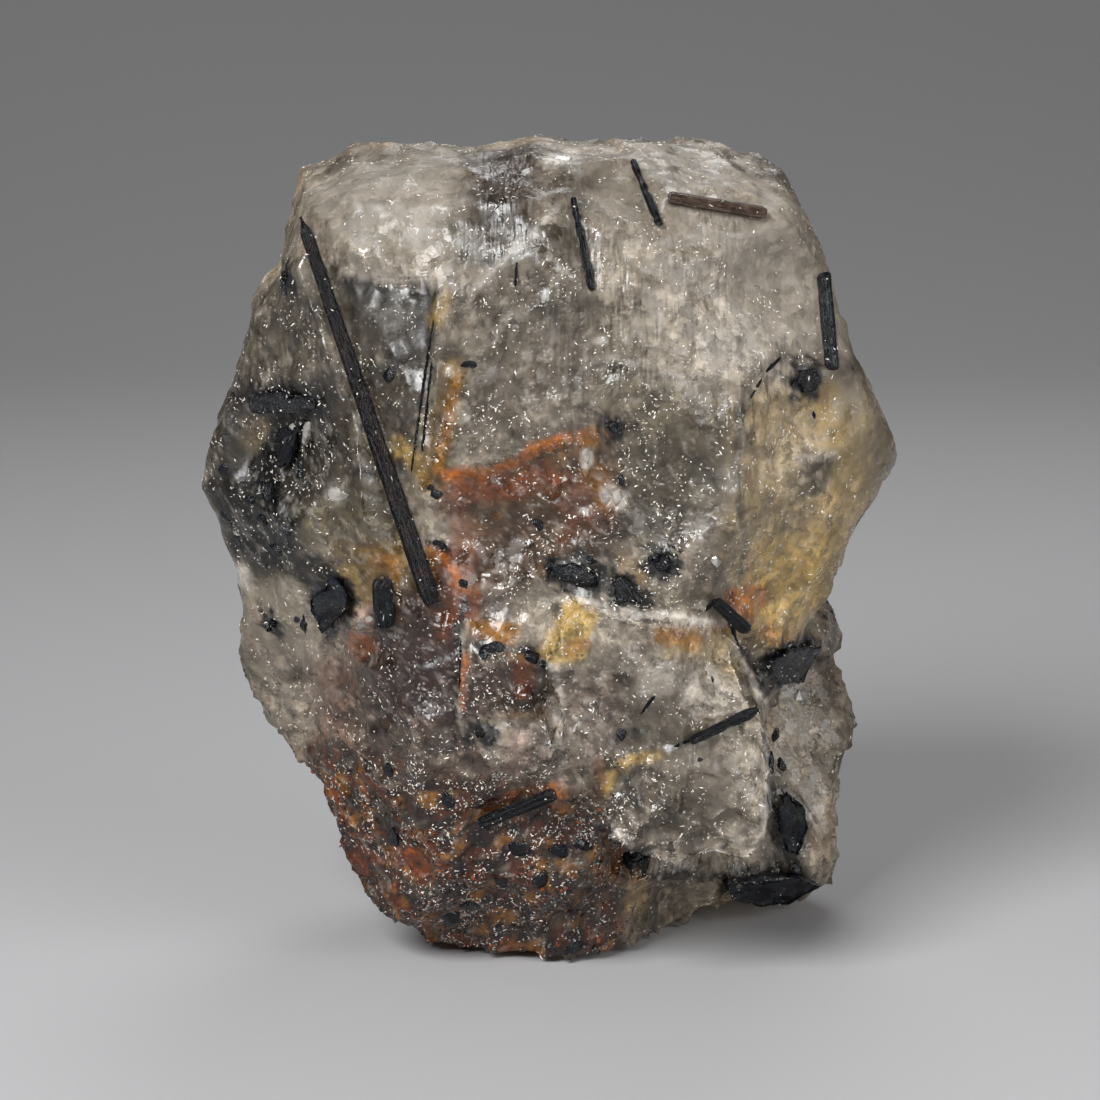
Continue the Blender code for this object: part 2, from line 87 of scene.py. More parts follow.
BREAKS = (
    ((-13.0, -15.4, 61.0), (-0.26, -0.90, 0.34), 1.0),
    ((0.0, -17.6, 58.0), (0.0, -0.95, 0.31), 1.4),
    ((11.0, -16.8, 57.0), (0.20, -0.94, 0.27), 1.4),
    ((0.0, -18.7, 44.0), (-0.02, -1.0, 0.03), 1.6),
    ((-20.0, -13.2, 46.0), (-0.60, -0.80, 0.02), 1.0),
    ((-22.0, -11.5, 37.0), (-0.70, -0.66, -0.24), 1.0),
    ((20.8, -13.4, 46.0), (0.56, -0.82, 0.10), 1.2),
    ((22.6, -10.5, 38.5), (0.66, -0.66, -0.34), 1.0),
    ((-16.5, -15.0, 22.0), (-0.48, -0.86, -0.18), 1.0),
    ((-3.0, -8.4, 0.0), (-0.06, -0.87, -0.49), 1.2),
    ((-12.0, -9.6, 4.0), (-0.60, -0.66, -0.45), 1.0),
    ((7.4, -7.5, 0.9), (0.46, -0.46, -0.76), 0.8),
    ((17.6, -12.0, 18.0), (0.88, -0.38, -0.28), 0.8),
    ((0.0, -10.5, 66.6), (0.0, -0.40, 0.92), 1.4),
    ((14.0, -6.0, 66.4), (0.30, -0.28, 0.91), 1.2),
    ((-12.0, 17.5, 48.0), (-0.34, 0.93, 0.12), 0.9),
    ((12.0, 17.0, 46.0), (0.42, 0.88, 0.20), 0.9),
    ((2.0, 18.4, 22.0), (0.06, 0.99, -0.10), 0.8),
    ((-20.5, 11.5, 26.0), (-0.80, 0.58, -0.14), 0.9),
    ((-6.0, 12.0, 61.0), (-0.10, 0.70, 0.70), 1.2),
    ((-4.0, 15.0, 5.0), (-0.10, 0.80, -0.58), 1.0),
)
LEDGES = (
    (((-17.4, 60.5), (-15.8, 59.6), (-13.0, 59.2), (-9.0, 58.6)), 1.5, 11.0, 3.5, 0.8),
    (((4.0, 53.0), (7.6, 52.8), (11.0, 51.6), (15.2, 49.6)), 1.0, 12.0, 4.5, 2.5),
    (((-8.6, 42.6), (-4.2, 43.8), (1.0, 45.4), (4.8, 46.8)), 1.1, 9.0, 4.0, 3.5),
    (((-29.0, 34.6), (-23.0, 33.4), (-18.4, 34.0), (-15.0, 31.4)), 0.9, 8.0, 2.0, 3.5),
)
LEDGE_EDGE = 0.35
BLOCKS = (
    (((-5.6, 26.0), (-1.4, 26.0), (0.4, 22.5), (0.8, 17.2), (-3.8, 15.0), (-7.0, 16.2), (-6.6, 21.0)),
     0.3, 0.8),
)
BLOCK_EDGE = 0.45
PITS = (
    ((6.9, 9.9), (1.5, 1.2), 1.8),
    ((-13.6, 50.4), (1.6, 1.0), 0.7),
    ((-22.6, 43.4), (3.4, 3.8), 1.5),
    ((-14.8, 28.6), (1.6, 1.4), 0.9),
    ((9.9, 41.0), (3.2, 4.0), 0.7),
    ((19.8, 38.8), (1.6, 3.0), 0.6),
    ((-3.4, 34.0), (4.6, 4.8), 0.6),
    ((13.2, 61.0), (3.6, 0.6), 0.7),
)
WAVES = (11.0, 0.7)
SCALLOPS = ((10.0, 2.4), (5.0, 1.1), (2.4, 0.45))
ROUGH_TOP, ROUGH_BOTTOM = 34.0, 16.0
SMOOTH_SHARE, ROUGH_SHARE = 0.6, 1.25
FRONT_FROM, FRONT_FULL = -3.0, -9.0
SETTLE_STEPS, SETTLE_SHARE, SETTLED = 70, 0.7, 0.002
RODS = (
    ("long_needle", (-9.4, -18.3, 32.6), (-19.9, -12.3, 62.9), 0.84, 0.50, 9),
    ("right_rod", (22.7, -11.6, 50.6), (22.2, -7.6, 57.8), 0.62, 0.62, 9),
    ("top_needle", (8.6, -15.4, 62.6), (6.6, -8.8, 67.2), 0.38, 0.32, 6),
    ("centre_needle", (3.3, -17.9, 57.7), (1.8, -14.6, 64.6), 0.40, 0.32, 6),
    ("brown_rod", (9.4, -13.8, 64.6), (17.2, -11.6, 63.1), 0.52, 0.52, 8),
    ("inner_stub", (-13.2, -17.7, 30.6), (-13.4, -17.7, 34.5), 0.80, 0.85, 8),
    ("slab_rod", (13.3, -16.9, 32.5), (15.8, -14.5, 29.8), 0.55, 0.60, 8),
    ("slab_needle", (11.2, -20.2, 21.9), (16.6, -18.3, 24.0), 0.42, 0.50, 7),
    ("foot_bar", (-5.7, -15.6, 13.9), (0.4, -17.2, 16.8), 0.55, 0.60, 7),
)
TROUGH_SLOPE = 0.8
TROUGH_FLOOR = 0.15
TROUGH_BLEND = 0.3

# Finer breaks of the skin that only the finished stone has, as small bowls and as leaning facets: size, and
# depth on the worn top and on the foot. The facets' edges bend by FACET_BEND of their size
FINE_SCALLOPS = ((1.7, 0.18, 0.45), (0.8, 0.08, 0.24))
FACETS = ((5.2, 0.30, 0.55), (2.3, 0.15, 0.40))
FACET_BEND = 0.28
# Where the three noises that bend the facets are read, apart from each other
BEND_OFFSETS = (Vector((0.3, 0.8, 0.5)), Vector((11.2, 4.7, 8.9)), Vector((5.1, 13.6, 2.4)))
SKIN_INSET = 0.05

# Where the eye of the photographed view stands
VIEW_TARGET = Vector((0.0, 0.0, 33.6))
VIEW_DISTANCE = 320.0
VIEW_ELEVATION = math.radians(10.5)
VIEW_UNIT = 0.0843
VIEW_MIDDLE = 550.0
SENSOR_WIDTH = 36.0
# How far a place just off the stone's edge may be drawn in to it, in steps
DRAWN_IN = (1.0, 0.99, 0.98, 0.97, 0.96)
# The front is fully stained this far ahead of the stone's middle
FRONT_DEPTH = 7.0

# Colours that the stone is stained with, which also paint the highlights and shadows along its ledges, slab
# and a ridge
TONES = {
    "milk": (0.41, 0.352, 0.276),
    "pale": (0.72, 0.67, 0.60),
    "grey": (0.110, 0.088, 0.063),
    "smoke": (0.034, 0.028, 0.021),
    "ink": (0.003, 0.003, 0.003),
    "olive": (0.125, 0.102, 0.058),
    "sand": (0.36, 0.268, 0.145),
    "ochre": (0.23, 0.120, 0.016),
    "yellow": (0.56, 0.36, 0.09),
    "amber": (0.30, 0.115, 0.008),
    "orange": (0.48, 0.115, 0.003),
    "rust": (0.230, 0.045, 0.005),
    "wine": (0.050, 0.013, 0.007),
    "brown": (0.052, 0.025, 0.013),
    "mauve": (0.16, 0.118, 0.100),
    "rose": (0.50, 0.34, 0.27),
}

# Tones darker than this level are deepened by the power that follows
DEEPENED_BELOW = 0.23
DEEPENING = 0.60
# How much lighter the grey is where it is the ground under the stains
GREY_LIFT = 1.25
# The foot's patchwork of broken faces: the tones, the steps between them, and a patch's size in millimetres
FOOT_TONES = ("ink", "rust", "brown", "wine", "amber", "grey")
FOOT_STEPS = (0.32, 0.60, 0.70, 0.82, 0.92)
FOOT_PATCH = 1.3
# Where the rusty foot fades in, downwards and to the left, and the path that it follows on the view
FOOT_HEIGHTS = (-19.0, -9.0)
FOOT_SIDES = (-9.0, -3.0)
FOOT_PATH = ((330, 800), (560, 850), (520, 930))

# How much the clouds, the foot's patches and the facets lighten and darken the skin
MOTTLE, PATCH_SHADE, FACET_SHADE = 0.24, 0.5, 0.5
# How even the calm places are, how pale the facets' edges get, and how strongly, how far in millimetres and
# how raggedly the skin around the crystals is blackened
CALM_EVENNESS = 0.85
EDGE_STRENGTH = 0.25
SHADE_STRENGTH, SHADE_REACH, SHADE_TORN = 0.92, 0.55, 0.9
# How far the wide, the small and the torn clouds shift the edges of the stains and painted highlights and
# shadows on the view
WOBBLE = (6.0, 4.5, 3.5)

# Stains on the front, and the painted highlights and shadows along the ledges, the slab and a ridge, in the
# order
# they lie on each other: whether the path is an area or a line, the path, the line's half width, the tone,
# how strongly it covers, and how softly it ends
STAINS_AND_PAINTED_LIGHT = (
    ("area", ((300, 140), (480, 140), (470, 240), (430, 285), (340, 275), (300, 215)), 0, "milk", 0.6, 40),
    ("area", ((590, 150), (780, 150), (850, 330), (800, 360), (740, 385), (600, 345)), 0, "milk", 0.65, 45),
    ("area", ((690, 190), (780, 180), (840, 330), (790, 360), (720, 370)), 0, "pale", 0.34, 60),
    ("line", ((340, 175), (420, 200)), 34, "pale", 0.25, 50),
    ("area", ((470, 140), (560, 140), (560, 250), (480, 260)), 0, "grey", 0.7, 50),
    ("line", ((510, 150), (505, 225)), 26, "brown", 0.8, 30),
    ("line", ((500, 230), (520, 300), (510, 350)), 24, "smoke", 0.35, 40),
    ("area", ((450, 230), (590, 220), (660, 460), (450, 480)), 0, "grey", 0.72, 70),
    ("area", ((455, 140), (540, 140), (530, 240), (460, 235)), 0, "brown", 0.5, 30),
    ("area", ((600, 362), (660, 370), (725, 395), (735, 480), (640, 560), (600, 480)), 0, "olive", 0.6, 34),
    ("area", ((620, 440), (735, 440), (740, 590), (640, 600)), 0, "smoke", 0.4, 60),
    ("area", ((225, 240), (300, 250), (400, 520), (260, 560), (190, 470), (200, 330)), 0, "grey", 0.8, 60),
    ("area", ((215, 270), (330, 290), (380, 480), (260, 560), (200, 470)), 0, "smoke", 0.45, 70),
    # Painted shade: the recess under the top-left ledge is darkened with grey and smoke, and a smoke line
    # paints the shadow under the ledge's lip
    ("area", ((344, 281), (436, 292), (437, 330), (410, 470), (392, 480), (350, 340)), 0, "grey", 0.75, 16),
    ("area", ((346, 285), (436, 295), (430, 360), (400, 480), (370, 470), (350, 380)), 0, "smoke", 0.55, 24),
    ("line", ((350, 288), (392, 296), (430, 300)), 8, "smoke", 0.75, 10),
    ("line", ((396, 360), (424, 330)), 12, "smoke", 0.6, 14),
    # Painted shade: an ink line in a crease on the upper left side
    ("line", ((318, 303), (291, 347)), 5, "ink", 0.55, 14),
    ("line", ((360, 345), (350, 400), (372, 430)), 16, "grey", 0.5, 26),
    ("area", ((205, 385), (330, 380), (330, 470), (300, 560), (225, 575), (190, 470)), 0, "smoke", 0.92, 34),
    ("line", ((225, 455), (245, 520), (270, 545)), 26, "ink", 0.7, 30),
    ("line", ((258, 428), (258, 432)), 19, "olive", 0.9, 12),
    ("line", ((262, 424), (252, 440)), 7, "ochre", 0.45, 10),
    ("line", ((226, 405), (215, 440), (213, 475)), 7, "grey", 0.6, 14),
    ("area", ((216, 495), (262, 500), (300, 520), (296, 560), (250, 572), (222, 545)), 0, "ink", 0.95, 16),
    # Painted highlight: a faint pale line along the left rim, where the light from behind catches the edge
    ("line", ((205, 425), (205, 480)), 4, "pale", 0.15, 8),
    ("area", ((300, 500), (400, 480), (420, 540), (330, 560), (298, 540)), 0, "olive", 0.75, 24),
    ("line", ((335, 492), (330, 500)), 9, "pale", 0.3, 10),
    ("area", ((334, 546), (404, 540), (416, 596), (385, 612), (345, 600)), 0, "ochre", 0.85, 20),
    ("line", ((345, 560), (352, 600)), 12, "olive", 0.6, 12),
    ("area", ((338, 630), (376, 628), (380, 650), (360, 666), (342, 658)), 0, "rust", 0.9, 8),
    ("line", ((350, 642), (368, 646)), 10, "orange", 0.7, 8),
    ("area", ((352, 612), (370, 604), (381, 618), (376, 636), (356, 634)), 0, "rose", 0.9, 6),
    ("line", ((372, 562), (395, 560), (394, 580)), 6, "amber", 0.85, 10),
    ("line", ((348, 575), (352, 600)), 8, "yellow", 0.35, 12),
    ("line", ((452, 368), (441, 430), (434, 478)), 17, "olive", 0.8, 12),
    ("line", ((452, 372), (441, 430), (434, 478)), 13, "ochre", 0.75, 12),
    ("line", ((448, 385), (441, 430), (434, 478)), 12, "brown", 0.45, 12),
    ("line", ((456, 380), (446, 440), (440, 470)), 5, "amber", 0.9, 7),
    ("line", ((443, 296), (436, 320)), 7, "yellow", 0.55, 12),
    ("line", ((399, 445), (420, 470)), 8, "yellow", 0.6, 12),
    ("line", ((421, 465), (428, 478)), 10, "ochre", 0.7, 12),
    ("area", ((448, 474), (500, 472), (560, 450), (606, 436), (622, 500), (590, 560), (470, 590)),
     0, "amber", 0.7, 30),
    ("area", ((448, 480), (560, 465), (612, 440), (630, 500), (610, 580), (470, 590)), 0, "brown", 0.80, 34),
    ("area", ((446, 474), (500, 474), (545, 462), (560, 480), (520, 500), (455, 500)), 0, "rust", 0.8, 22),
    ("area", ((545, 480), (600, 470), (612, 520), (560, 540)), 0, "rust", 0.5, 30),
    ("line", ((450, 500), (470, 560)), 12, "rust", 0.45, 20),
    ("line", ((447, 473), (487, 473), (517, 462), (532, 448), (567, 438), (592, 434)),
     4.5, "orange", 0.95, 8),
    ("line", ((590, 440), (600, 430), (612, 424)), 8, "amber", 0.95, 9),
    ("line", ((594, 470), (600, 500)), 10, "amber", 0.6, 16),
    ("line", ((587, 455), (586, 462)), 6, "pale", 0.8, 8),
    ("line", ((608, 495), (616, 500)), 9, "pale", 0.7, 12),
    ("area", ((740, 370), (870, 400), (900, 440), (860, 560), (770, 640), (725, 560)), 0, "sand", 0.95, 50),
    ("area", ((700, 160), (790, 170), (850, 340), (770, 380), (700, 330)), 0, "milk", 0.6, 50),
    ("line", ((822, 400), (835, 440)), 14, "yellow", 0.5, 26),
    ("area", ((760, 545), (830, 530), (825, 615), (770, 645), (740, 605)), 0, "yellow", 0.75, 34),
    ("line", ((845, 470), (830, 540)), 16, "yellow", 0.3, 30),
    ("area", ((802, 462), (832, 458), (826, 492), (796, 500)), 0, "smoke", 0.8, 12),
    ("line", ((800, 458), (834, 456)), 3, "pale", 0.5, 6),
    ("line", ((740, 412), (752, 380), (781, 357)), 8, "smoke", 0.75, 14),
    ("line", ((738, 400), (735, 470), (745, 560), (728, 620)), 3, "smoke", 0.6, 7),
    ("area", ((734, 432), (755, 430), (754, 456), (736, 456)), 0, "grey", 0.6, 8),
    ("line", ((880, 430), (886, 470)), 10, "grey", 0.5, 16),
    ("line", ((612, 300), (628, 330), (640, 352)), 6, "olive", 0.6, 10),
    ("line", ((608, 330), (622, 352)), 6, "olive", 0.6, 10),
    ("line", ((560, 240), (575, 268)), 10, "grey", 0.4, 18),
    ("line", ((722, 335), (745, 345)), 20, "pale", 0.45, 34),
    ("line", ((747, 190), (730, 175)), 10, "ochre", 0.25, 20),
    ("area", ((226, 558), (246, 570), (254, 590), (238, 600), (228, 585)), 0, "pale", 0.75, 8),
    ("line", ((284, 420), (272, 460), (258, 495)), 11, "ink", 0.95, 8),
    ("line", ((254, 402), (318, 406)), 14, "ink", 0.9, 8),
    ("line", ((262, 424), (240, 452)), 12, "olive", 0.6, 14),
    ("line", ((311, 570), (332, 590), (330, 632)), 17, "ink", 0.9, 8),
    ("line", ((383, 584), (384, 622)), 9, "brown", 0.9, 8),
    ("area", ((230, 590), (330, 600), (360, 660), (300, 760), (230, 690)), 0, "milk", 0.65, 36),
    ("area", ((236, 640), (350, 650), (400, 770), (310, 800), (250, 740)), 0, "mauve", 0.4, 40),
    ("line", ((238, 630), (250, 640)), 6, "rose", 0.5, 12),
    ("area", ((330, 640), (470, 600), (470, 760), (400, 780), (340, 720)), 0, "wine", 0.55, 40),
    ("area", ((363, 650), (455, 645), (462, 745), (372, 753)), 0, "brown", 0.6, 26),
    ("line", ((330, 680), (335, 740), (360, 790)), 16, "rust", 0.35, 34),
    ("area", ((372, 600), (424, 585), (470, 600), (466, 720), (380, 730)), 0, "wine", 0.85, 22),
    ("area", ((424, 545), (470, 545), (470, 600), (440, 640), (420, 600)), 0, "rust", 0.95, 14),
    ("line", ((440, 556), (452, 570), (460, 590)), 6, "orange", 0.8, 8),
    ("line", ((432, 570), (440, 600), (436, 625)), 9, "wine", 0.6, 14),
    ("line", ((430, 553), (428, 575)), 6, "amber", 0.7, 10),
    ("line", ((429, 540), (449, 548)), 5, "ink", 0.85, 7),
    ("area", ((470, 640), (545, 640), (548, 716), (468, 716)), 0, "brown", 0.8, 14),
    ("line", ((489, 606), (492, 616)), 22, "mauve", 0.8, 12),
    ("line", ((474, 596), (470, 622), (480, 634)), 6, "rust", 0.85, 10),
    ("line", ((476, 630), (512, 632)), 10, "amber", 0.9, 10),
    ("line", ((480, 648), (500, 655)), 8, "ink", 0.9, 6),
    ("line", ((528, 652), (540, 666)), 8, "ink", 0.9, 6),
    ("area", ((469, 660), (545, 655), (545, 712), (470, 716)), 0, "wine", 0.7, 22),
    ("line", ((524, 665), (522, 690)), 8, "rust", 0.7, 12),
    ("line", ((466, 655), (464, 705)), 3, "orange", 0.7, 7),
    ("area", ((510, 722), (552, 716), (559, 786), (520, 795), (505, 770)), 0, "mauve", 0.85, 14),
    ("line", ((520, 735), (515, 770)), 8, "rose", 0.35, 14),
    ("line", ((466, 740), (490, 770), (490, 790)), 13, "wine", 0.7, 18),
    ("line", ((500, 655), (545, 660)), 4, "ochre", 0.5, 8),
    ("line", ((500, 716), (545, 714)), 3, "ochre", 0.5, 7),
    ("area", ((290, 740), (390, 750), (500, 790), (600, 790), (620, 960), (460, 975), (370, 920)),
     0, "wine", 0.9, 26),
    ("line", ((325, 790), (350, 850), (380, 900)), 17, "rust", 0.75, 22),
    ("line", ((385, 780), (420, 800), (440, 800)), 9, "amber", 0.55, 16),
    ("line", ((408, 845), (438, 870)), 13, "orange", 0.65, 20),
    ("line", ((390, 800), (395, 850)), 12, "ink", 0.7, 16),
    ("line", ((372, 890), (384, 912)), 10, "amber", 0.6, 14),
    ("line", ((400, 920), (450, 950), (510, 950)), 14, "rust", 0.8, 20),
    ("line", ((470, 905), (500, 880)), 8, "rust", 0.7, 14),
    ("line", ((470, 860), (480, 890), (520, 870)), 20, "ink", 0.7, 26),
    ("line", ((380, 870), (400, 905)), 8, "rust", 0.6, 14),
    ("line", ((511, 795), (540, 792), (556, 786)), 3.5, "orange", 0.9, 7),
    ("line", ((557, 790), (559, 822)), 5, "orange", 0.8, 9),
    ("line", ((575, 800), (590, 840)), 12, "brown", 0.7, 18),
    ("line", ((520, 925), (600, 900)), 12, "brown", 0.6, 20),
    ("area", ((588, 844), (626, 850), (626, 878), (598, 884), (586, 868)), 0, "amber", 0.9, 8),
    ("line", ((600, 905), (590, 935)), 10, "rust", 0.6, 14),
    ("area", ((560, 930), (594, 930), (594, 954), (560, 954)), 0, "ink", 0.85, 8),
    ("area", ((577, 598), (603, 613), (590, 637), (588, 659), (559, 664), (539, 653), (550, 630),
              (564, 606)), 0, "yellow", 0.9, 6),
    ("line", ((572, 648), (586, 643)), 7, "amber", 0.8, 7),
    ("area", ((560, 662), (640, 620), (760, 660), (768, 720), (768, 840), (650, 866), (600, 800)),
     0, "grey", 0.35, 24),
    ("area", ((545, 665), (610, 665), (612, 760), (565, 790)), 0, "mauve", 0.5, 20),
    ("line", ((620, 655), (700, 700), (750, 700)), 26, "milk", 0.25, 40),
    ("line", ((650, 680), (730, 690)), 14, "pale", 0.25, 30),
    ("line", ((664, 636), (698, 638)), 10, "amber", 0.85, 12),
    ("line", ((716, 626), (732, 628)), 6, "amber", 0.85, 9),
    ("line", ((672, 652), (720, 650)), 10, "yellow", 0.3, 16),
    ("line", ((725, 640), (735, 665)), 12, "yellow", 0.3, 20),
    # Painted light around the slab: the pale lines on its top, right, bottom and left edges are painted
    # highlights, and the ink lines beside its right edge and under its lower edge are painted shadow in the
    # crevices
    ("line", ((577, 598), (617, 612), (678, 616), (722, 624)), 3, "pale", 0.8, 5),
    ("line", ((733, 640), (742, 664), (767, 706), (768, 774), (764, 827), (751, 862)), 2.6, "pale", 0.8, 5),
    ("line", ((742, 650), (774, 704), (776, 780), (773, 850)), 4.5, "ink", 0.9, 5),
    ("line", ((606, 820), (630, 845), (652, 863), (705, 869), (750, 867)), 2.4, "pale", 0.7, 5),
    ("line", ((600, 826), (624, 852), (650, 871), (705, 877), (752, 874)), 5, "ink", 0.85, 6),
    ("line", ((540, 662), (556, 668), (560, 700), (560, 786)), 3, "pale", 0.45, 6),
    ("line", ((612, 662), (616, 720), (606, 790)), 2.4, "smoke", 0.4, 6),
    # Painted highlight on the slab's lower right corner
    ("line", ((766, 822), (764, 840), (750, 852)), 2.4, "pale", 0.7, 5),
    ("line", ((700, 867), (728, 845), (762, 818)), 2.4, "ink", 0.85, 4),
    ("area", ((709, 864), (757, 825), (765, 838), (750, 862)), 0, "milk", 0.5, 5),
    ("line", ((673, 748), (698, 737), (740, 722)), 3, "smoke", 0.8, 7),
    ("line", ((620, 780), (650, 830)), 3, "smoke", 0.65, 6),
    ("line", ((656, 757), (630, 761), (612, 774), (605, 792)), 4.5, "yellow", 0.75, 7),
    ("line", ((616, 770), (643, 801)), 2.2, "smoke", 0.7, 5),
    ("line", ((600, 760), (598, 800)), 5, "amber", 0.5, 9),
    ("line", ((625, 735), (642, 732)), 7, "smoke", 0.6, 9),
    ("line", ((622, 678), (625, 683)), 6, "brown", 0.8, 6),
    ("line", ((612, 800), (640, 840), (690, 800)), 16, "smoke", 0.3, 26),
    ("line", ((757, 596), (738, 600), (742, 614)), 11, "orange", 0.8, 14),
    ("line", ((730, 595), (729, 601)), 6, "rust", 0.85, 8),
    ("line", ((768, 632), (782, 638), (785, 655)), 9, "amber", 0.75, 12),
    ("line", ((742, 625), (755, 642)), 8, "ochre", 0.7, 12),
    ("line", ((640, 590), (660, 600), (700, 605)), 12, "olive", 0.6, 18),
    ("line", ((622, 560), (640, 575)), 10, "ochre", 0.5, 16),
    ("area", ((770, 655), (800, 700), (812, 860), (775, 870)), 0, "smoke", 0.85, 14),
    ("area", ((766, 790), (794, 785), (800, 860), (772, 872)), 0, "ink", 0.9, 10),
    ("area", ((767, 648), (818, 640), (814, 680), (780, 690)), 0, "ink", 0.9, 8),
    ("area", ((800, 690), (850, 670), (860, 850), (815, 885)), 0, "olive", 0.85, 30),
    ("area", ((795, 690), (845, 690), (840, 810), (800, 840)), 0, "smoke", 0.7, 30),
    ("line", ((833, 750), (842, 810)), 18, "smoke", 0.5, 26),
    ("line", ((857, 700), (858, 790)), 5, "rose", 0.4, 9),
    ("line", ((822, 845), (812, 880)), 11, "yellow", 0.5, 18),
    ("line", ((822, 600), (846, 616)), 4, "brown", 0.7, 7),
    ("line", ((828, 640), (846, 650)), 10, "ochre", 0.45, 18),
    ("area", ((650, 872), (720, 876), (690, 935), (640, 955)), 0, "smoke", 0.85, 12),
    ("area", ((617, 846), (652, 848), (650, 872), (620, 870)), 0, "ink", 0.95, 6),
    ("area", ((625, 876), (650, 876), (648, 912), (624, 910)), 0, "yellow", 0.4, 9),
    ("area", ((690, 872), (835, 872), (830, 925), (700, 925)), 0, "ink", 0.9, 10),
    # Painted highlights: thin pale lines on a ridge
    ("line", ((467, 620), (462, 650)), 1.8, "pale", 0.6, 4),
    ("line", ((461, 700), (460, 740)), 1.6, "pale", 0.4, 4),
    ("line", ((420, 556), (428, 604)), 8, "brown", 0.55, 12),
    # Painted shadow: an ink line along the same ridge
    ("line", ((462, 598), (458, 650), (455, 740)), 3.0, "ink", 0.85, 4),
    ("line", ((476, 288), (520, 245), (556, 208)), 2.0, "pale", 0.5, 5),
    # A pale chip, with a painted highlight on it
    ("line", ((548, 162), (560, 158), (573, 154)), 6, "pale", 0.9, 8),
    # Painted light along the top-left ledge: the ink line is painted shadow under its lip and the pale line
    # a painted highlight on it
    ("line", ((344, 280), (390, 287), (437, 293)), 3.4, "ink", 0.9, 5),
    ("line", ((338, 272), (390, 279), (436, 285)), 2.6, "pale", 0.5, 5),
    # Painted light along the top-right ledge: the pale line is a painted highlight on its lip and the smoke
    # line painted shadow under it
    ("line", ((597, 357), (658, 366), (689, 376), (721, 392)), 2.4, "pale", 0.35, 6),
    ("line", ((598, 362), (658, 371), (687, 381), (719, 397)), 2.4, "smoke", 0.5, 6),
    # Painted shadow: a smoke line under the ledge on the left side
    ("line", ((215, 545), (300, 575), (340, 560)), 2.6, "smoke", 0.6, 6),
)

# Fibrous places, where fine pale and dark streaks stand side by side: path, half width and strength
FIBRES = (
    (((510, 150), (505, 225)), 34, 1.0),
    (((480, 160), (470, 200)), 16, 0.7),
    (((560, 170), (585, 260)), 24, 0.7),
    (((610, 250), (640, 360)), 34, 0.8),
    (((690, 190), (700, 330)), 50, 0.5),
    (((740, 412), (781, 357)), 22, 0.8),
    (((555, 300), (590, 420)), 34, 0.5),
    (((742, 210), (720, 222)), 14, 0.8),
)

# Smooth glassy places that are hardly broken or mottled: path, half width and strength
CALM = (
    (((320, 170), (430, 200)), 50, 1.0),
    (((620, 180), (760, 230), (800, 320)), 50, 1.0),
    (((830, 360), (870, 460)), 40, 1.0),
    (((835, 720), (825, 850)), 28, 1.0),
    (((262, 620), (300, 680)), 34, 1.0),
    (((650, 700), (720, 800)), 30, 1.0),
    (((360, 310), (415, 330)), 34, 1.0),
    (((715, 465), (740, 490)), 22, 1.0),
)

# How thickly the sugary grains lie: path, half width, and how many to the square millimetre
DUST = (
    (((330, 190), (560, 190), (780, 190)), 70, 1.0),
    (((640, 230), (760, 360)), 60, 3.0),
    (((500, 260), (520, 430)), 70, 4.5),
    (((340, 400), (560, 330), (700, 440)), 90, 4.0),
    (((260, 400), (280, 520)), 60, 3.6),
    (((620, 440), (700, 560)), 60, 5.0),
    (((520, 560), (700, 590)), 50, 6.0),
    (((760, 420), (800, 600)), 60, 4.0),
    (((480, 620), (440, 760)), 70, 5.0),
    (((270, 620), (330, 760)), 60, 2.6),
    (((400, 800), (580, 850)), 60, 8.0),
    (((430, 900), (560, 930)), 50, 7.0),
    (((520, 835), (590, 860)), 26, 16.0),
    (((445, 905), (485, 920)), 22, 16.0),
    (((395, 755), (420, 790)), 18, 10.0),
    (((590, 690), (730, 700)), 60, 3.5),
    (((640, 800), (740, 790)), 60, 4.0),
    (((785, 700), (800, 850)), 26, 6.0),
    (((840, 700), (840, 830)), 20, 1.2),
)
DUST_BEHIND = 1.6
CRYSTAL_DUST = 1.3
DUST_AMOUNT = 3.0
WHITE_TONES = ((0.86, 0.82, 0.75), (0.46, 0.42, 0.36))
# The white grains are one piece in each band of height. Those shorter than this half length are plain shards
SUGAR_BANDS = ("sugar_low", "sugar_middle", "sugar_high")
FINE_GRAIN = 0.075
# The higher the power, the fewer large grains. The longest splinters are longer by SPLINTERS
GRAIN_POWER = 3.4
SPLINTERS = 1.4
# Half lengths of the crumbs in millimetres
CRUMB_SMALLEST, CRUMB_RANGE, CRUMB_POWER = 0.10, 0.34, 2.4
# The crumbs of the foot: name, how many to the square millimetre, and their two colours
CRUMBS = (
    ("rust_crumbs", 2.0, ((0.22, 0.055, 0.010), (0.09, 0.024, 0.009))),
    ("black_crumbs", 4.2, ((0.004, 0.004, 0.005), (0.020, 0.014, 0.012))),
)


def fade(value, low, high):
    share = np.clip((value - low) / (high - low), 0, 1)
    return share * share * (3 - 2 * share)


def smooth_least(a, b, blend):
    """The lesser of two fields, rounded where they meet. It joins two shapes."""
    share = np.clip(0.5 + 0.5 * (b - a) / blend, 0, 1)
    return b + (a - b) * share - blend * share * (1 - share)


def smooth_most(a, b, blend):
    """The greater of two fields, rounded where they meet. It cuts one shape by another."""
    return -smooth_least(-a, -b, blend)


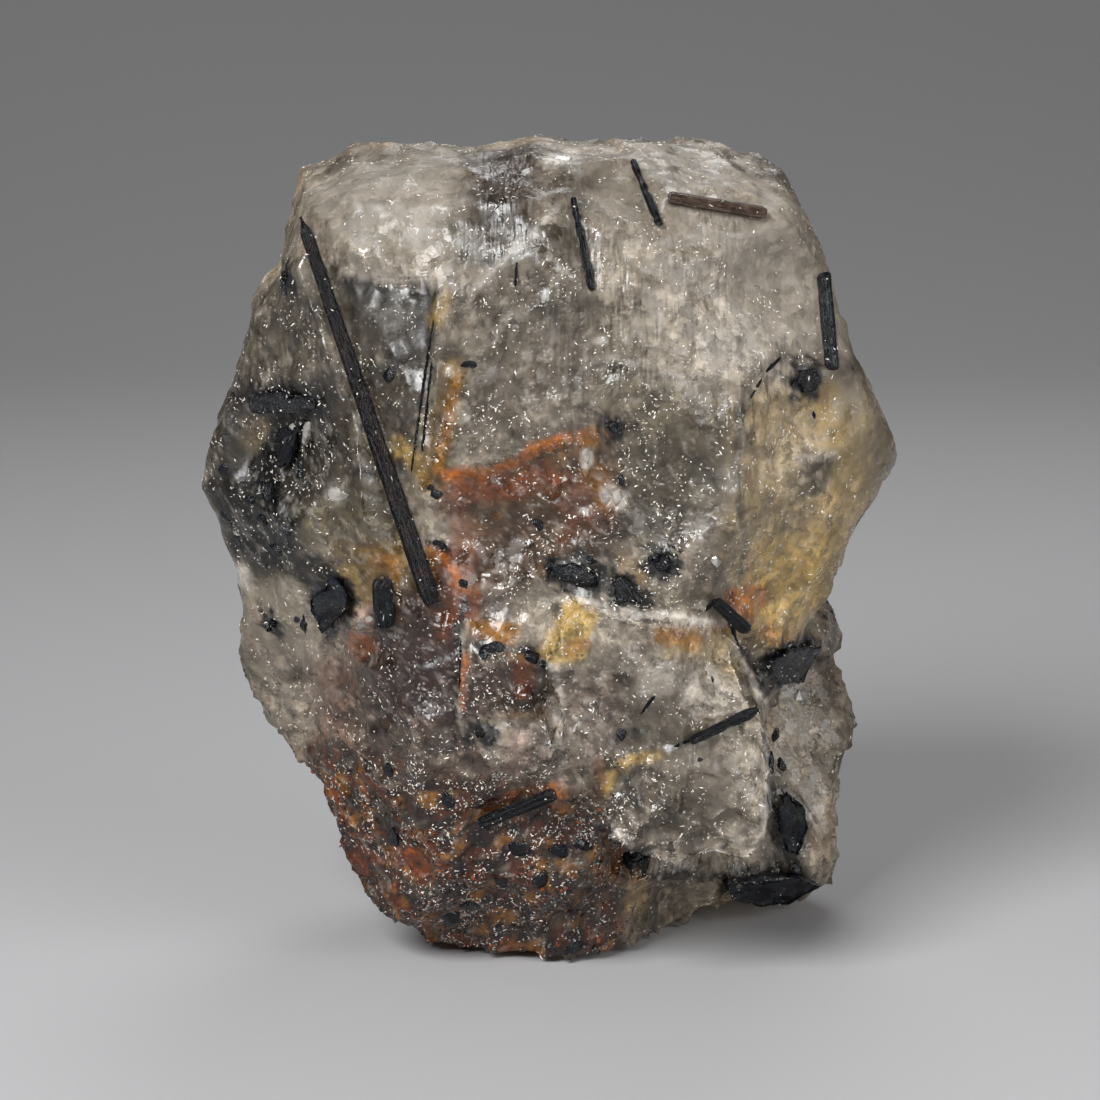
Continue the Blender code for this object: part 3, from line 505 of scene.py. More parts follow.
def polar_outline(outline, centre, steps=1440):
    """The distance from the centre to a star-shaped outline, at evenly spaced angles."""
    angles = np.linspace(-math.pi, math.pi, steps + 1)
    points = np.array(outline) - np.array(centre)
    starts, ends = points, np.roll(points, -1, axis=0)
    ray_x, ray_z = np.cos(angles)[:, None], np.sin(angles)[:, None]
    edge = ends - starts
    turn = ray_x * edge[:, 1] - ray_z * edge[:, 0]
    turn = np.where(np.abs(turn) < 1e-9, 1e-9, turn)
    along_ray = (starts[:, 0] * edge[:, 1] - starts[:, 1] * edge[:, 0]) / turn
    along_edge = (starts[:, 0] * ray_z - starts[:, 1] * ray_x) / turn
    hit = (along_edge >= 0) & (along_edge <= 1) & (along_ray > 0)
    return angles, np.where(hit, along_ray, 0).max(axis=1)


def body_field(points, angles, reaches):
    """Rough distance outside the main body, in millimetres, negative inside it."""
    x, y, z = points[:, 0], points[:, 1], points[:, 2] - CORE.z
    across = np.hypot(x, z) + 1e-9
    reach = np.interp(np.arctan2(z, x), angles, reaches)
    ratio = ((across / reach) ** BODY_ROUNDNESS
             + (np.abs(y) / (DEPTH / 2)) ** BODY_ROUNDNESS) ** (1 / BODY_ROUNDNESS)
    return (1 - 1 / ratio) * np.sqrt(across**2 + y**2)


def lobe_field(points, centre, radii, roundness):
    offset = points - np.array(centre)
    distance = np.linalg.norm(offset, axis=1) + 1e-9
    ratio = (np.abs(offset / np.array(radii)) ** roundness).sum(axis=1) ** (1 / roundness) + 1e-9
    return distance - distance / ratio


def outline_distance(x, z, outline, closed):
    """Distance from points to a chain of edges, and whether each is inside it, or below it if it is open."""
    chain = list(outline) + [outline[0]] if closed else list(outline)
    nearest = np.full(len(x), 1e9)
    inside = np.zeros(len(x), bool)
    for (ax, az), (bx, bz) in zip(chain, chain[1:]):
        edge_x, edge_z = bx - ax, bz - az
        share = np.clip(((x - ax) * edge_x + (z - az) * edge_z) / (edge_x**2 + edge_z**2), 0, 1)
        nearest = np.minimum(nearest, np.hypot(x - ax - share * edge_x, z - az - share * edge_z))
        if closed:
            rising = (az > z) != (bz > z)
            crossing = ax + (z - az) * edge_x / (edge_z if edge_z else 1e-9)
            inside ^= rising & (x < crossing)
        else:
            inside |= (x >= ax) & (x < bx) & (z < az + (x - ax) * edge_z / (edge_x if edge_x else 1e-9))
    return nearest, inside


def front_relief(x, z):
    """How far the front stands out from the plain form, in millimetres, at each (x, z)."""
    rise = np.zeros(len(x))
    for line, drop, reach, left_in, right_in in LEDGES:
        distance, below = outline_distance(x, z, line, closed=False)
        left, right = line[0][0], line[-1][0]
        sides = fade(x, left, left + left_in) * fade(-x, -right, right_in - right)
        rise -= drop * below * sides * fade(distance, 0, LEDGE_EDGE) * np.exp(-((distance / reach) ** 2))
    for outline, left_rise, right_rise in BLOCKS:
        distance, inside = outline_distance(x, z, outline, closed=True)
        left = min(corner[0] for corner in outline)
        right = max(corner[0] for corner in outline)
        height = left_rise + (right_rise - left_rise) * (x - left) / (right - left)
        rise += height * inside * fade(distance, 0, BLOCK_EDGE)
    for (pit_x, pit_z), (wide, tall), depth in PITS:
        spread = ((x - pit_x) / wide) ** 2 + ((z - pit_z) / tall) ** 2
        rise -= depth * np.exp(-(spread**2))
    return rise


def trough_field(points, foot, tip, foot_radius, tip_radius):
    """Positive in front of a rod's upper half and of the slopes beside it, so that the rod lies open."""
    foot, tip = np.array(foot), np.array(tip)
    run = (tip - foot)[[0, 2]]
    share = np.clip((points[:, [0, 2]] - foot[[0, 2]]) @ run / (run @ run), 0, 1)
    axis = foot + share[:, None] * (tip - foot)
    radius = foot_radius + share * (tip_radius - foot_radius)
    aside = np.hypot(points[:, 0] - axis[:, 0], points[:, 2] - axis[:, 2])
    floor = axis[:, 1] - TROUGH_FLOOR * radius - TROUGH_SLOPE * np.maximum(0, aside - radius)
    return (floor - points[:, 1]) * 0.75


def stone_field(points, angles, reaches, skin):
    """Rough distance outside the stone. skin is the height of the surface noise on each point's ray."""
    field = body_field(points, angles, reaches)
    for place, normal, blend in BREAKS:
        unit = np.array(normal) / np.linalg.norm(normal)
        field = smooth_most(field, (points - np.array(place)) @ unit, blend)
    for centre, radii, roundness in LOBES:
        field = smooth_least(field, lobe_field(points, centre, radii, roundness), LOBE_BLEND)
    for outline, place, normal in SLABS:
        nearest, inside = outline_distance(points[:, 0], points[:, 2], outline, closed=True)
        unit = np.array(normal) / np.linalg.norm(normal)
        face = (points - np.array(place)) @ unit
        slab = smooth_most(np.where(inside, -nearest, nearest), face, SLAB_BLEND)
        field = smooth_least(field, np.maximum(slab, points[:, 1]), SLAB_BLEND)
    front = fade(-points[:, 1], -FRONT_FROM, -FRONT_FULL)
    field = field - front * front_relief(points[:, 0], points[:, 2]) - skin
    for _, foot, tip, foot_radius, tip_radius, _ in RODS:
        trough = trough_field(points, foot, tip, foot_radius, tip_radius)
        field = smooth_most(field, trough, TROUGH_BLEND)
    return np.maximum(field, -points[:, 2])


def roughness_share(z):
    """0 on the worn top of the stone and 1 on its hackly foot."""
    return min(1.0, max(0.0, (ROUGH_TOP - z) / (ROUGH_TOP - ROUGH_BOTTOM)))


def skin_noise(place):
    """Height of the broken skin at a place, in millimetres."""
    size, height = WAVES
    total = noise.fractal(place / size, 1.0, 2.0, 2) * height
    share = SMOOTH_SHARE + (ROUGH_SHARE - SMOOTH_SHARE) * roughness_share(place.z)
    for size, height in SCALLOPS:
        nearest = noise.voronoi(place / size, distance_metric="DISTANCE_SQUARED")[0][0]
        total += (nearest - 0.3) * height * share
    return total


def bending(place):
    """Three steady noises at a place. The ready-made vector noise changes from run to run."""
    return Vector([noise.noise(place + offset) for offset in BEND_OFFSETS])


def facet(place, size):
    """The flat facet of the skin at a place: its own steady number, its lean, and how near its edge is.

    The facets are cells with bent edges, and each leans its own way.
    """
    bent = place / size
    bent = bent + bending(bent * 1.7) * FACET_BEND
    distances, centres = noise.voronoi(bent, distance_metric="DISTANCE")
    lean = noise.cell_vector(centres[0] * 23.7)
    return 0.5 + 0.5 * lean.x, (bent - centres[0]).dot(lean), distances[1] - distances[0]


def fine_skin(place):
    """How far the finest breaks go into the skin at a place, in millimetres."""
    rough = roughness_share(place.z)
    total = 0.0
    for size, smooth_depth, rough_depth in FACETS:
        _, tilt, _ = facet(place, size)
        total += min(1.0, max(0.0, 0.5 + tilt)) * (smooth_depth + (rough_depth - smooth_depth) * rough)
    for size, smooth_depth, rough_depth in FINE_SCALLOPS:
        nearest = noise.voronoi(place / size, distance_metric="DISTANCE_SQUARED")[0][0]
        total += (0.6 - min(nearest, 0.6)) * (smooth_depth + (rough_depth - smooth_depth) * rough)
    return total


def settled_points(rays):
    """Where each ray from the core last leaves the stone, found by coming in from outside."""
    angles, reaches = polar_outline(BODY_OUTLINE, (0.0, CORE.z))
    core = np.array(CORE)
    reach = np.full(len(rays), START_REACH)
    skin = np.zeros(len(rays))
    moving = np.arange(len(rays))
    for step in range(SETTLE_STEPS):
        if step == SETTLE_STEPS // 2:
            moving = np.arange(len(rays))
            points = core + rays * reach[:, None]
            skin = np.array([skin_noise(Vector(point)) for point in points])
        points = core + rays[moving] * reach[moving][:, None]
        field = stone_field(points, angles, reaches, skin[moving])
        reach[moving] -= SETTLE_SHARE * field
        moving = moving[np.abs(field) > SETTLED]
    points = core + rays * reach[:, None]
    points[:, 2] = np.maximum(points[:, 2], 0.0)
    return points


def view_axes():
    """The view's direction towards the eye, and its right and up."""
    back = Vector((0.0, -math.cos(VIEW_ELEVATION), math.sin(VIEW_ELEVATION)))
    return back, Vector((1.0, 0.0, 0.0)), Vector((0.0, math.sin(VIEW_ELEVATION), math.cos(VIEW_ELEVATION)))


def view_place(points):
    """Where points of the stone, in millimetres, show on the photographed view: across and down."""
    back, right, up = (np.array(axis) for axis in view_axes())
    offset = points - (np.array(VIEW_TARGET) + back * VIEW_DISTANCE)
    depth = -offset @ back
    scale = VIEW_DISTANCE / depth / VIEW_UNIT
    return VIEW_MIDDLE + offset @ right * scale, VIEW_MIDDLE - offset @ up * scale


def seen_point(tree, across, down):
    """The point and outward normal of the skin that shows at a place on the view, in millimetres.

    A place that lies just off the stone's edge is drawn in to it.
    """
    back, right, up = view_axes()
    eye = VIEW_TARGET + back * VIEW_DISTANCE
    for drawn_in in DRAWN_IN:
        aside = right * (across - VIEW_MIDDLE) * drawn_in + up * (VIEW_MIDDLE - down) * drawn_in
        aim = aside * VIEW_UNIT - back * VIEW_DISTANCE
        place, normal, _, _ = tree.ray_cast(eye * MM, aim.normalized())
        if place is not None:
            return place / MM, normal
    raise RuntimeError(f"the view misses the stone at {across}, {down}")


def path_share(across, down, path, half_width, soft, closed=False):
    """1 on a path or in an area of the view and 0 away from it."""
    distance, inside = outline_distance(across, down, path, closed)
    if closed:
        distance = np.where(inside, -distance, distance)
    return 1 - fade(distance - half_width, -soft / 2, soft / 2)


def strongest(paths, across, down, softness):
    """The strongest of many paths at each point, each with its half width and its strength."""
    share = np.zeros(len(across))
    for path, half_width, strength in paths:
        amount = path_share(across, down, path, half_width, half_width * softness)
        share = np.maximum(share, strength * amount)
    return share


def clouds(points, size, dimension, gap, octaves, offset=(0.0, 0.0, 0.0)):
    """Cloudy noise at each point: its size in millimetres, and how fine, spaced and many its octaves are."""
    return np.array([noise.fractal(Vector(point) / size + Vector(offset), dimension, gap, octaves)
                     for point in points])


def deselect_all():
    if bpy.context.object is not None and bpy.context.object.mode != "OBJECT":
        bpy.ops.object.mode_set(mode="OBJECT")
    bpy.ops.object.select_all(action="DESELECT")


def activate(piece):
    deselect_all()
    piece.select_set(True)
    bpy.context.view_layer.objects.active = piece


def finish_piece(piece, name, material, replaced=()):
    """Names a piece, gives it its material, ties it to the body, and hides the nodes that it stands for."""
    piece.name = name
    piece.data.name = name
    piece.data.materials.clear()
    piece.data.materials.append(material)
    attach(piece, "root")
    if replaced:
        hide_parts(*replaced)


def mesh_points(mesh):
    """The mesh's points as an array, in millimetres."""
    flat = np.empty(len(mesh.vertices) * 3)
    mesh.vertices.foreach_get("co", flat)
    return flat.reshape(-1, 3) / MM


def set_points(mesh, points):
    mesh.vertices.foreach_set("co", (points * MM).ravel())
    mesh.update()


def tree_of(*pieces):
    """One search tree of several pieces' faces."""
    joined = bmesh.new()
    for piece in pieces:
        joined.from_mesh(piece.data)
    tree = BVHTree.FromBMesh(joined)
    joined.free()
    return tree


ATTRIBUTE_KINDS = {1: ("FLOAT", "value"), 3: ("FLOAT_VECTOR", "vector"), 4: ("FLOAT_COLOR", "color")}


def add_attribute(mesh, name, values):
    """A value, a vector or a colour on each point of the mesh."""
    kind, field = ATTRIBUTE_KINDS[values[0].size]
    layer = mesh.attributes.new(name, kind, "POINT")
    layer.data.foreach_set(field, values.astype(np.float32).ravel())


def new_object(name, mesh):
    piece = bpy.data.objects.new(name, mesh)
    bpy.context.scene.collection.objects.link(piece)
    return piece


class Nodes:
    """Adds nodes to a material or a group and links them."""

    def __init__(self, tree):
        self.tree = tree
        self.column = 0

    def add(self, kind, values=None, links=None, **settings):
        node = self.tree.nodes.new(kind)
        node.location = (self.column * 200, -120 * (self.column % 3))
        self.column += 1
        for key, value in settings.items():
            setattr(node, key, value)
        for key, value in (values or {}).items():
            node.inputs[key].default_value = value
        for key, socket in (links or {}).items():
            self.tree.links.new(socket, node.inputs[key])
        return node

    def link(self, socket, node, name):
        self.tree.links.new(socket, node.inputs[name])

    def clouds(self, place, scale, detail, roughness=0.5):
        """The values of a noise pattern."""
        pattern = self.add("ShaderNodeTexNoise", {"Scale": scale, "Detail": detail, "Roughness": roughness},
                           {"Vector": place})
        return pattern.outputs["Fac"]

    def bump(self, shader, height, strength, distance):
        raised = self.add("ShaderNodeBump", {"Strength": strength, "Distance": distance}, {"Height": height})
        self.link(raised.outputs[0], shader, "Normal")

    def ramp(self, source, low, high, least=0.0, most=1.0):
        """The source's values from low to high, spread from least to most."""
        spread = self.add("ShaderNodeMapRange", {1: low, 2: high, 3: least, 4: most}, {0: source})
        return spread.outputs["Result"]

    def times(self, a, b):
        return self.add("ShaderNodeMath", links={0: a, 1: b}, operation="MULTIPLY").outputs[0]

    def scaled(self, a, amount):
        return self.add("ShaderNodeMath", {1: amount}, {0: a}, operation="MULTIPLY").outputs[0]

    def plus(self, a, b):
        return self.add("ShaderNodeMath", links={0: a, 1: b}, operation="ADD").outputs[0]

    def mix(self, share, a, b, blend="MIX"):
        """Colour a turned towards colour b. Each may be a socket or plain numbers."""
        node = self.add("ShaderNodeMix", data_type="RGBA", blend_type=blend)
        for key, value in (("Factor", share), ("A", a), ("B", b)):
            socket = next(item for item in node.inputs if item.name == key and item.enabled)
            if isinstance(value, bpy.types.NodeSocket):
                self.tree.links.new(value, socket)
            else:
                socket.default_value = value
        return next(item for item in node.outputs if item.enabled)


def new_group(name, inputs, outputs):
    """A shader node group with its sockets, and the nodes that hold them."""
    group = bpy.data.node_groups.new(name, "ShaderNodeTree")
    for socket, kind, value in inputs:
        made = group.interface.new_socket(socket, in_out="INPUT", socket_type=kind)
        if value is not None:
            made.default_value = value
    for socket, kind in outputs:
        group.interface.new_socket(socket, in_out="OUTPUT", socket_type=kind)
    nodes = Nodes(group)
    return nodes, nodes.add("NodeGroupInput"), nodes.add("NodeGroupOutput")


def sugar_and_glint_group():
    """Fine pale flecks, partly pale grains and partly painted glints of light, and dark specks on a colour.
    """
    nodes, given, result = new_group(
        "Sugary skin",
        (("Vector", "NodeSocketVector", None), ("Color", "NodeSocketColor", None),
         ("Flecks", "NodeSocketFloat", 0.5), ("Specks", "NodeSocketFloat", 0.3)),
        (("Color", "NodeSocketColor"),))
    cells = nodes.add("ShaderNodeTexVoronoi", {"Scale": 2400.0, "Randomness": 1.0},
                      {"Vector": given.outputs["Vector"]})
    thick = nodes.clouds(given.outputs["Vector"], 420.0, 0.0)
    picked = nodes.add("ShaderNodeSeparateColor", links={0: cells.outputs["Color"]})
    small = nodes.ramp(cells.outputs["Distance"], 0.34, 0.18)
    few = nodes.ramp(picked.outputs[0], 0.55, 0.65)
    place = nodes.ramp(thick, 0.38, 0.60)
    fleck = nodes.times(nodes.times(small, few), place)
    dark = nodes.times(small, nodes.ramp(picked.outputs[1], 0.86, 0.92))
    specked = nodes.mix(nodes.times(dark, given.outputs["Specks"]), given.outputs["Color"],
                        (0.02, 0.018, 0.018, 1.0))
    # The pale flecks are painted glints of light as well as pale grains
    flecked = nodes.mix(nodes.times(fleck, given.outputs["Flecks"]), specked, (0.80, 0.77, 0.71, 1.0))
    nodes.link(flecked, result, "Color")
    return nodes.tree


def fracture_group():
    """A colour broken into small flat facets, each a shade of its own, and the height of the broken skin."""
    nodes, given, result = new_group(
        "Fractured skin",
        (("Vector", "NodeSocketVector", None), ("Color", "NodeSocketColor", None),
         ("Depth", "NodeSocketFloat", 0.5)),
        (("Color", "NodeSocketColor"), ("Height", "NodeSocketFloat"), ("Dullness", "NodeSocketFloat")))
    fine = nodes.clouds(given.outputs["Vector"], 1000.0, 2.0, 0.75)
    bend = nodes.add("ShaderNodeVectorMath", {1: (0.0016, 0.0016, 0.0016)},
                     {0: fine, 2: given.outputs["Vector"]}, operation="MULTIPLY_ADD")
    cells = nodes.add("ShaderNodeTexVoronoi", {"Scale": 950.0}, {"Vector": bend.outputs[0]})
    aside = nodes.add("ShaderNodeVectorMath", links={0: bend.outputs[0], 1: cells.outputs["Position"]},
                      operation="SUBTRACT")
    lean = nodes.add("ShaderNodeVectorMath", {1: (0.5, 0.5, 0.5)}, {0: cells.outputs["Color"]},
                     operation="SUBTRACT")
    tilt = nodes.add("ShaderNodeVectorMath", links={0: aside.outputs[0], 1: lean.outputs[0]},
                     operation="DOT_PRODUCT")
    picked = nodes.add("ShaderNodeSeparateColor", links={0: cells.outputs["Color"]})
    shade = nodes.times(nodes.ramp(fine, 0.3, 0.7, 0.40, 1.60),
                        nodes.ramp(picked.outputs[0], 0.0, 1.0, 0.62, 1.40))
    shaded = nodes.mix(given.outputs["Depth"], given.outputs["Color"],
                       nodes.mix(1.0, given.outputs["Color"], shade, "MULTIPLY"))
    height = nodes.plus(nodes.scaled(fine, 0.45), nodes.scaled(tilt.outputs["Value"], 900.0))
    dull = nodes.times(fine, nodes.ramp(picked.outputs[1], 0.0, 1.0, 0.5, 1.5))
    nodes.link(shaded, result, "Color")
    nodes.link(height, result, "Height")
    nodes.link(dull, result, "Dullness")
    return nodes.tree


def shared_group(name, maker):
    return bpy.data.node_groups.get(name) or maker()


def new_material(name, **values):
    """A Principled material, its node helper and its shader."""
    material = bpy.data.materials.new(name)
    material.use_nodes = True
    nodes = Nodes(material.node_tree)
    shader = material.node_tree.nodes["Principled BSDF"]
    for key, value in values.items():
        shader.inputs[key.replace("_", " ")].default_value = value
    return material, nodes, shader


def quartz_material(settings):
    """Milky see-through quartz: stains and painted highlights and shadows from the mesh, facets, fibres, and
    flecks that are pale grains and painted glints.
    """
    material, nodes, shader = new_material(
        "Milky quartz", Transmission_Weight=settings.see_through, IOR=settings.ior)
    place = nodes.add("ShaderNodeTexCoord").outputs["Object"]
    stain = nodes.add("ShaderNodeAttribute", attribute_name="stain")
    fibre = nodes.add("ShaderNodeAttribute", attribute_name="fibre")
    grit = nodes.add("ShaderNodeAttribute", attribute_name="grit")
    depth = nodes.ramp(grit.outputs["Fac"], 0.0, 0.6, 0.35, 1.0)
    broken = nodes.add("ShaderNodeGroup",
                       links={"Vector": place, "Color": stain.outputs["Color"], "Depth": depth},
                       node_tree=shared_group("Fractured skin", fracture_group))
    stretched = nodes.add("ShaderNodeMapping",
                          {"Rotation": (0.0, 0.28, 0.0), "Scale": (2600.0, 900.0, 240.0)}, {"Vector": place})
    streaks = nodes.clouds(stretched.outputs[0], 1.0, 1.0, 0.6)
    pale = nodes.times(nodes.ramp(streaks, 0.52, 0.68), fibre.outputs["Fac"])
    dark = nodes.times(nodes.ramp(streaks, 0.46, 0.30), fibre.outputs["Fac"])
    combed = nodes.mix(nodes.scaled(pale, 0.18), broken.outputs["Color"], (0.74, 0.71, 0.66, 1.0))
    combed = nodes.mix(nodes.scaled(dark, 0.85), combed, (0.05, 0.038, 0.027, 1.0))
    # The flecks are partly painted glints of light
    flecks = nodes.ramp(grit.outputs["Fac"], 0.0, 1.0, 0.20, 0.70)
    specks = nodes.ramp(grit.outputs["Fac"], 0.0, 1.0, 0.15, 0.8)
    sugar = nodes.add("ShaderNodeGroup",
                      links={"Vector": place, "Color": combed, "Flecks": flecks, "Specks": specks},
                      node_tree=shared_group("Sugary skin", sugar_and_glint_group))
    nodes.link(sugar.outputs["Color"], shader, "Base Color")
    dull = nodes.ramp(broken.outputs["Dullness"], 0.2, 0.8, 0.20, 0.54)
    dull = nodes.times(dull, nodes.ramp(grit.outputs["Fac"], 0.05, 0.45, 1.35, 1.0))
    nodes.link(dull, shader, "Roughness")
    rough = nodes.times(broken.outputs["Height"], nodes.ramp(grit.outputs["Fac"], 0.0, 0.8, 0.15, 1.2))
    height = nodes.plus(rough, nodes.scaled(nodes.times(streaks, fibre.outputs["Fac"]), 0.45))
    nodes.bump(shader, height, strength=0.8, distance=0.3 * MM)
    return material


def crystal_material(name, body, sheen, dusty):
    """Black tourmaline: fine grooves along the crystal, a faint painted sheen of reflected light in its
    colour, and rubbed grey places.
    """
    material, nodes, shader = new_material(name, IOR=1.64, Specular_IOR_Level=0.22)
    groove = nodes.add("ShaderNodeAttribute", attribute_name="groove")
    place = nodes.add("ShaderNodeTexCoord").outputs["Object"]
    lines = nodes.clouds(groove.outputs["Vector"], 1.0, 3.0, 0.6)
    patches = nodes.clouds(place, 900.0, 2.0, 0.7)
    # Painted sheen: the sheen colour stands in for light reflected off the crystal's faces
    tinted = nodes.mix(nodes.ramp(patches, 0.42, 0.66), (*body, 1.0), (*sheen, 1.0))
    rubbed = nodes.times(nodes.ramp(lines, 0.55, 0.72), nodes.ramp(patches, 0.5, 0.62))
    tinted = nodes.mix(nodes.scaled(rubbed, dusty), tinted, (0.13, 0.12, 0.11, 1.0))
    nodes.link(tinted, shader, "Base Color")
    nodes.link(nodes.ramp(patches, 0.35, 0.7, 0.04, 0.20), shader, "Roughness")
    height = nodes.plus(nodes.scaled(lines, 1.2), nodes.scaled(patches, 0.4))
    nodes.bump(shader, height, strength=0.9, distance=0.24 * MM)
    return material


def grain_material(name, colours, roughness, see_through=0.0):
    """Small grains whose colour changes from one to the next."""
    material, nodes, shader = new_material(
        name, Transmission_Weight=see_through, Coat_Weight=0.2, Roughness=roughness)
    place = nodes.add("ShaderNodeTexCoord").outputs["Object"]
    share = nodes.ramp(nodes.clouds(place, 1500.0, 2.0), 0.35, 0.65)
    nodes.link(nodes.mix(share, (*colours[0], 1.0), (*colours[1], 1.0)), shader, "Base Color")
    nodes.bump(shader, nodes.clouds(place, 5000.0, 2.0), strength=0.4, distance=0.05 * MM)
    return material


class StoneSettings(bpy.types.PropertyGroup):
    """Size of the skin's cells and the look of the quartz."""

    cells: IntProperty(name="Cells", description="Cells along each side of the six patches of the skin",
                       default=101, min=16, max=101)
    front_share: FloatProperty(name="Front share", description="How far the cells crowd to the front",
                               default=0.46, min=0.0, max=0.6, subtype="FACTOR")
    see_through: FloatProperty(name="See-through", description="Share of the light that passes the quartz",
                               default=0.62, min=0.0, max=1.0, subtype="FACTOR")
    ior: FloatProperty(name="IOR", description="How strongly the quartz bends light", default=1.544, min=1.0)


class CrystalSettings(bpy.types.PropertyGroup):
    """Look of the tourmaline."""

    black: FloatVectorProperty(name="Black", description="Colour of the black crystals", subtype="COLOR",
                               size=3, default=(0.004, 0.004, 0.005), min=0.0, max=1.0)
    # The blue sheen is painted light reflected off the black crystals' faces
    blue: FloatVectorProperty(name="Blue sheen", description="Painted blue sheen on the black crystals",
                              subtype="COLOR", size=3, default=(0.007, 0.009, 0.013), min=0.0, max=1.0)
    brown: FloatVectorProperty(name="Brown", description="Colour of the brown crystals", subtype="COLOR",
                               size=3, default=(0.045, 0.026, 0.018), min=0.0, max=1.0)
    ridge_depth: FloatProperty(name="Ridge depth", description="Ridges' depth as a share of the radius",
                               default=0.17, min=0.0, max=0.4, subtype="FACTOR")


class GrainSettings(bpy.types.PropertyGroup):
    """Size of the sugary grains."""

    small: FloatProperty(name="Smallest", description="Half length of the smallest grain",
                         default=0.035 * MM, unit="LENGTH")
    large: FloatProperty(name="Largest", description="Half length of the largest grain",
                         default=0.14 * MM, unit="LENGTH")
    seed: IntProperty(name="Seed", description="Start of the grains' order", default=4)


def stone_rays(settings):
    """A ball of even cells, its points crowded towards the front, and the direction of each point."""
    deselect_all()
    bpy.ops.mesh.primitive_cube_add(size=2.0)
    ball = bpy.context.object
    bpy.ops.object.mode_set(mode="EDIT")
    bpy.ops.mesh.select_all(action="SELECT")
    bpy.ops.mesh.subdivide(number_cuts=settings.cells - 1)
    bpy.ops.object.mode_set(mode="OBJECT")
    corners = mesh_points(ball.data) * MM
    rays = np.tan(corners * math.pi / 4)
    rays /= np.linalg.norm(rays, axis=1)[:, None]
    rays[:, 1] -= settings.front_share
    rays /= np.linalg.norm(rays, axis=1)[:, None]
    return ball, rays


def point_normals(mesh):
    flat = np.empty(len(mesh.vertices) * 3)
    mesh.vertex_normals.foreach_get("vector", flat)
    return flat.reshape(-1, 3)


def on_front(points):
    """1 on the front that the view shows and 0 from the stone's middle backwards."""
    return fade(-points[:, 1], 0.0, FRONT_DEPTH)


def crystal_shade(points):
    """1 where the skin lies against a crystal and 0 away from it, with a torn edge."""
    tree = tree_of(*(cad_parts[name] for name in CHUNK_AXES))
    away = np.array([tree.find_nearest(Vector(point) * MM)[3] for point in points]) / MM
    torn = clouds(points, 0.9, 0.8, 2.0, 3)
    return 1 - fade(away - SHADE_REACH - SHADE_TORN * torn, -0.15, 0.35)


def turned(colour, tone, amount):
    """Colours turned towards a tone, or towards a tone for each point, by an amount for each point."""
    return colour + amount[:, None] * (tone - colour)


def stain_and_paint_light(mesh, points):
    """Lays the base colour, the stains and the painted highlights and shadows on the skin, and marks the
    fibrous and the gritty places.
    """
    wide = clouds(points, 7.0, 0.9, 2.0, 4)
    small = clouds(points, 1.6, 0.9, 2.0, 3)
    torn = clouds(points, 0.7, 0.8, 2.0, 3, offset=(5, 1, 3))
    across, down = view_place(points)
    front = on_front(points)
    tones = {name: np.array(value) for name, value in TONES.items()}
    share = fade(wide, -0.8, 0.8)[:, None]
    colour = tones["grey"] * (1 - share) * GREY_LIFT + tones["milk"] * share

    low = fade(-points[:, 2], *FOOT_HEIGHTS) * fade(-points[:, 0] + 4 * wide, *FOOT_SIDES)
    behind = (1 - front) * fade(wide + 0.5 * small, 0.15, 0.7)
    for amount, tone in ((behind * 0.5, "ochre"), (low * 0.8, "wine"),
                         (low * fade(small + wide, 0.1, 0.6) * 0.8, "rust"),
                         (low * fade(-small, 0.2, 0.7) * 0.7, "ink")):
        colour = turned(colour, tones[tone], amount)

    wobble = WOBBLE[0] * wide + WOBBLE[1] * small + WOBBLE[2] * torn
    for kind, path, half_width, tone, strength, soft in STAINS_AND_PAINTED_LIGHT:
        drift = wobble * min(1.0, 0.25 + soft / 24.0)
        amount = path_share(across + drift, down - drift * 0.7, path, half_width, soft, kind == "area")
        amount = np.clip(amount * (1 + 0.3 * small + 0.3 * torn), 0, 1) * strength * front
        colour = turned(colour, tones[tone], amount)

    mosaic = np.array([facet(Vector(point), FOOT_PATCH) for point in points])
    facets = np.array([facet(Vector(point), FACETS[1][0]) for point in points])
    foot = np.maximum(low, path_share(across, down, FOOT_PATH, 50, 60) * front)
    picked = np.array([tones[tone] for tone in FOOT_TONES])[np.searchsorted(FOOT_STEPS, mosaic[:, 0])]
    colour = turned(colour, picked, foot * 0.7)

    calm = strongest(CALM, across, down, 1.0) * front
    mottle = clouds(points, 2.2, 0.9, 2.1, 5, offset=(9, 4, 7))
    shade = MOTTLE * mottle + PATCH_SHADE * (mosaic[:, 0] - 0.5) + FACET_SHADE * (facets[:, 0] - 0.5)
    colour *= np.exp((1 - CALM_EVENNESS * calm) * shade)[:, None]
    edges = fade(-facets[:, 2], -0.07, -0.01) * fade(facets[:, 0], 0.60, 0.7) * (1 - 0.6 * calm) * front
    colour = turned(colour, tones["pale"], edges * EDGE_STRENGTH)
    colour = turned(colour, tones["ink"], crystal_shade(points) * SHADE_STRENGTH)
    light = colour.mean(axis=1) / DEEPENED_BELOW
    colour *= (np.clip(light, 0.01, 1.0) ** DEEPENING)[:, None]
    add_attribute(mesh, "stain", np.hstack([np.clip(colour, 0, 1), np.ones((len(points), 1))]))

    add_attribute(mesh, "fibre", strongest(FIBRES, across, down, 1.4) * front)
    rough = np.array([roughness_share(z) for z in points[:, 2]])
    add_attribute(mesh, "grit", np.clip((0.4 + 0.5 * rough + 0.3 * small) * (1 - 0.75 * calm), 0, 1))


